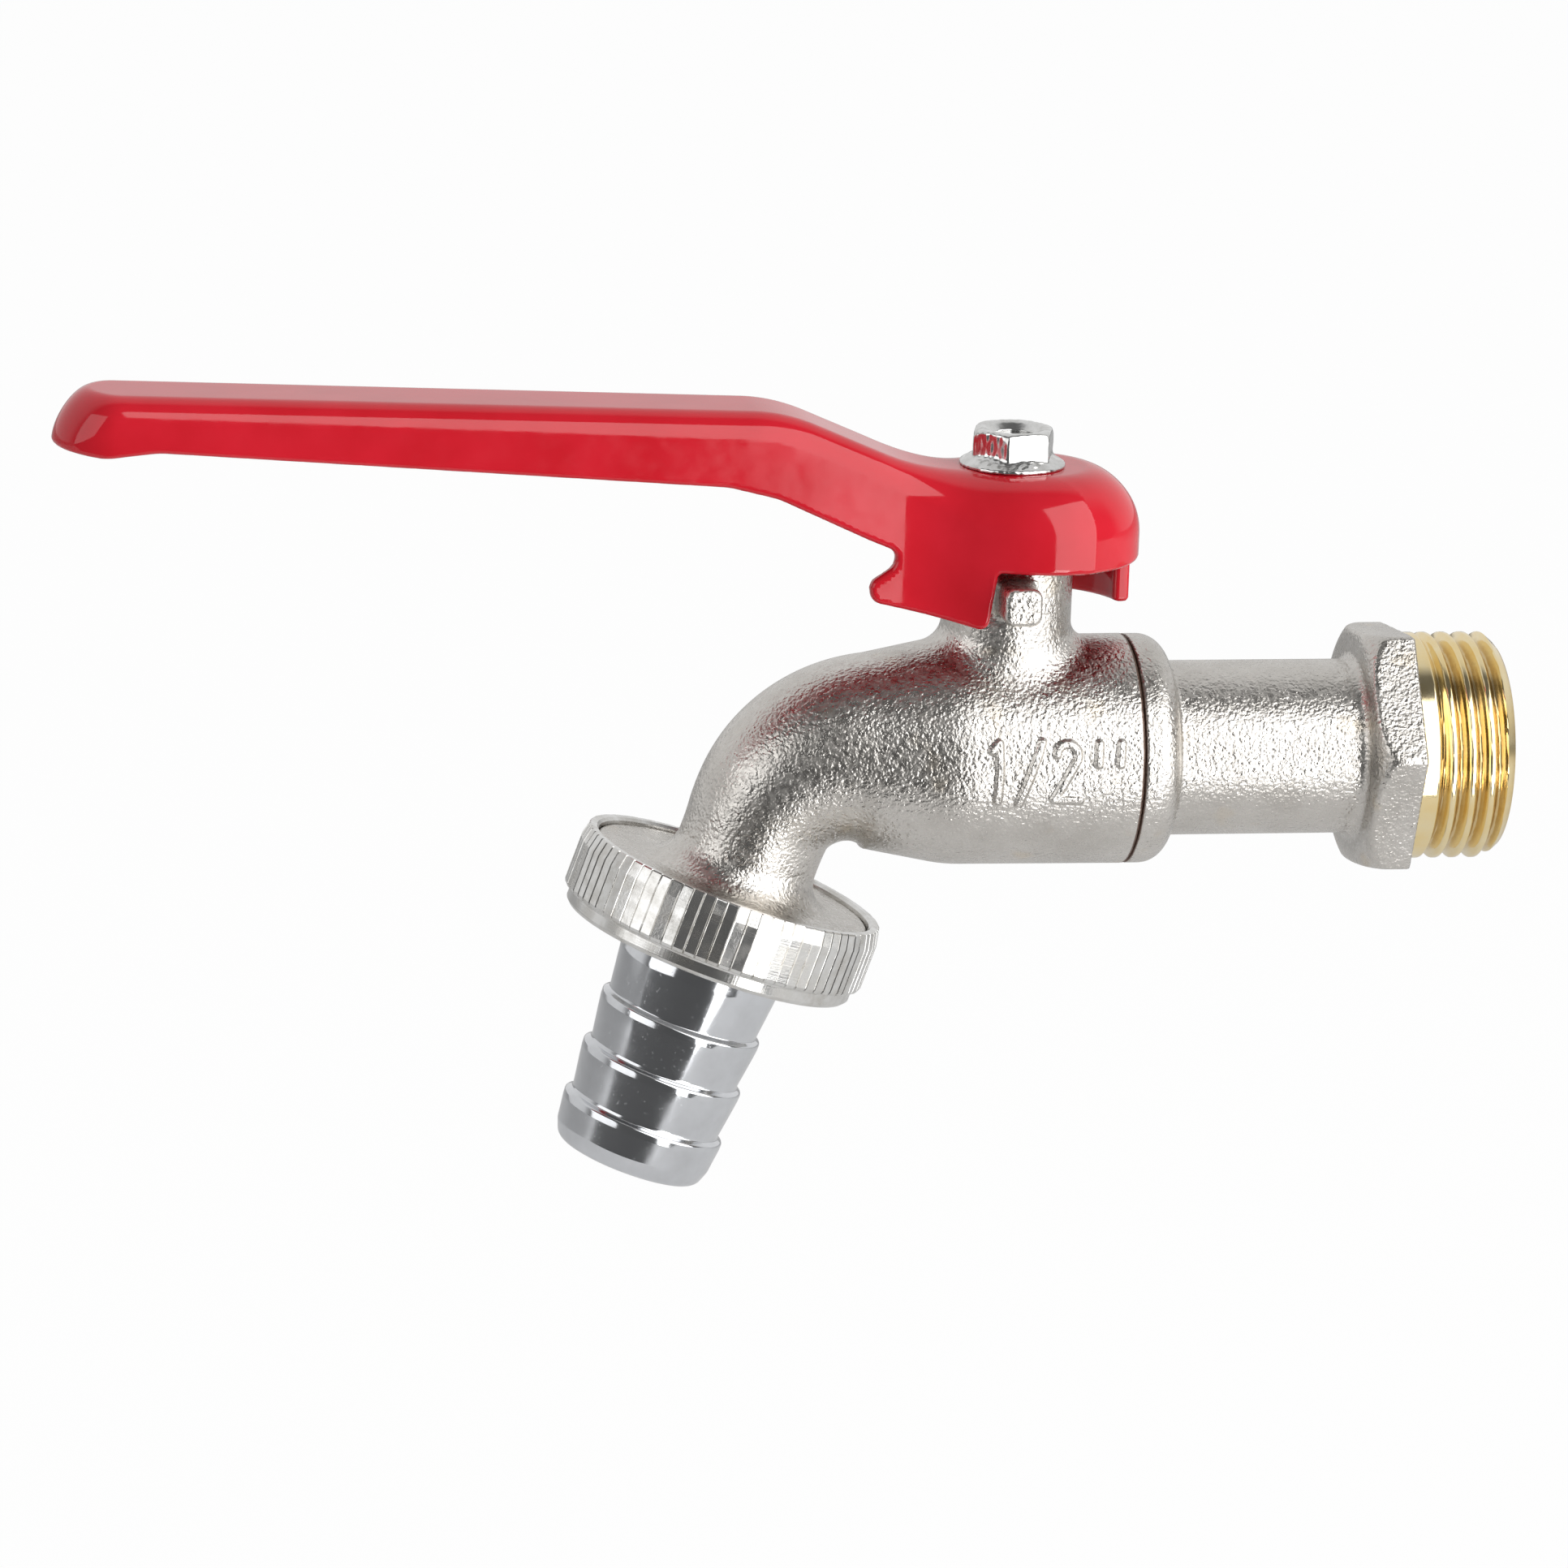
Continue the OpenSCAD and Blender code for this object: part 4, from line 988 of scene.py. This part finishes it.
# ---- floor, backdrop and light
floorForm = {"height": -0.105, "half": 3.0, "front": -0.13}
lightForm = {
    "rightBox": {"azimuth": 41, "elevation": 17, "distance": 0.8, "width": 1.04, "height": 1.3, "power": 11.0},
    "leftBox": {"azimuth": -66, "elevation": 17, "distance": 0.8, "width": 0.6, "height": 0.6, "power": 1.6},
    "lowBox": {"azimuth": 19, "elevation": -26, "distance": 0.7, "width": 0.17, "height": 0.24, "power": 0.65}}


def makeFloor(s):
    mesh = bpy.data.meshes.new("floor")
    h = s["half"]
    mesh.from_pydata([(-h, s["front"], s["height"]), (h, s["front"], s["height"]), (h, h, s["height"]), (-h, h, s["height"])],
                     [], [(0, 1, 2, 3)])
    floor = bpy.data.objects.new("floor", mesh)
    bpy.context.scene.collection.objects.link(floor)
    mat = bpy.data.materials.new("paleFloor")
    mat.use_nodes = True
    mat.node_tree.nodes.clear()
    book = NodeBook(mat.node_tree)
    out = book.add("ShaderNodeOutputMaterial")
    paper = book.add("ShaderNodeBsdfDiffuse", {"Color": (0.82, 0.82, 0.82, 1)})
    bright = book.add("ShaderNodeEmission", {"Color": (1, 1, 1, 1), "Strength": 1.0})
    lightPath = book.add("ShaderNodeLightPath")
    share = book.math("MULTIPLY", lightPath.outputs["Is Camera Ray"], 0.97)
    mixed = book.add("ShaderNodeMixShader", links={0: share, 1: paper.outputs[0], 2: bright.outputs[0]})
    mat.node_tree.links.new(mixed.outputs[0], out.inputs[0])
    mesh.materials.append(mat)


def makeLight(name, s):
    a, e = math.radians(s["azimuth"]), math.radians(s["elevation"])
    away = Vector((math.sin(a) * math.cos(e), -math.cos(a) * math.cos(e), math.sin(e)))
    centre = Vector(toRow([[-20.0, 0.0, 0.0]])[0])
    data = bpy.data.lights.new(name, "AREA")
    data.shape = "RECTANGLE"
    data.size, data.size_y = s["width"], s["height"]
    data.energy = s["power"]
    lamp = bpy.data.objects.new(name, data)
    lamp.matrix_world = Matrix.Translation(centre + away * s["distance"]) @ away.to_track_quat("Z", "Y").to_matrix().to_4x4()
    bpy.context.scene.collection.objects.link(lamp)


makeFloor(floorForm)
for lightName, lightSettings in lightForm.items():
    makeLight(lightName, lightSettings)

world = bpy.data.worlds.new("studio")
bpy.context.scene.world = world
world.use_nodes = True
studio = NodeBook(world.node_tree)
world.node_tree.nodes.clear()
worldOut = studio.add("ShaderNodeOutputWorld")
seen = studio.add("ShaderNodeBackground", {"Color": (1, 1, 1, 1), "Strength": 1.0})
way = studio.add("ShaderNodeSeparateXYZ", links={0: studio.add("ShaderNodeTexCoord").outputs["Generated"]})
facing = studio.math("MULTIPLY", way.outputs["Y"], -1.0)
tone = studio.ramp(studio.math("ADD", studio.math("MULTIPLY", facing, 0.5), 0.5),
                   [(0.0, grey(0.74)), (0.40, grey(0.70)), (0.52, grey(0.14)), (1.0, grey(0.10))])
lit = studio.add("ShaderNodeBackground", {"Strength": 1.0}, {"Color": tone})
path = studio.add("ShaderNodeLightPath")
behind = studio.math("MULTIPLY", path.outputs["Is Glossy Ray"], studio.level(facing, -0.5, -0.1, 0.3, 0.0))
share = studio.math("ADD", path.outputs["Is Camera Ray"], behind, clamp=True)
mix = studio.add("ShaderNodeMixShader", links={0: share, 1: lit.outputs[0], 2: seen.outputs[0]})
world.node_tree.links.new(mix.outputs[0], worldOut.inputs[0])
print("studio done")

bpy.context.scene.view_settings.view_transform = "Standard"
bpy.context.view_layer.update()
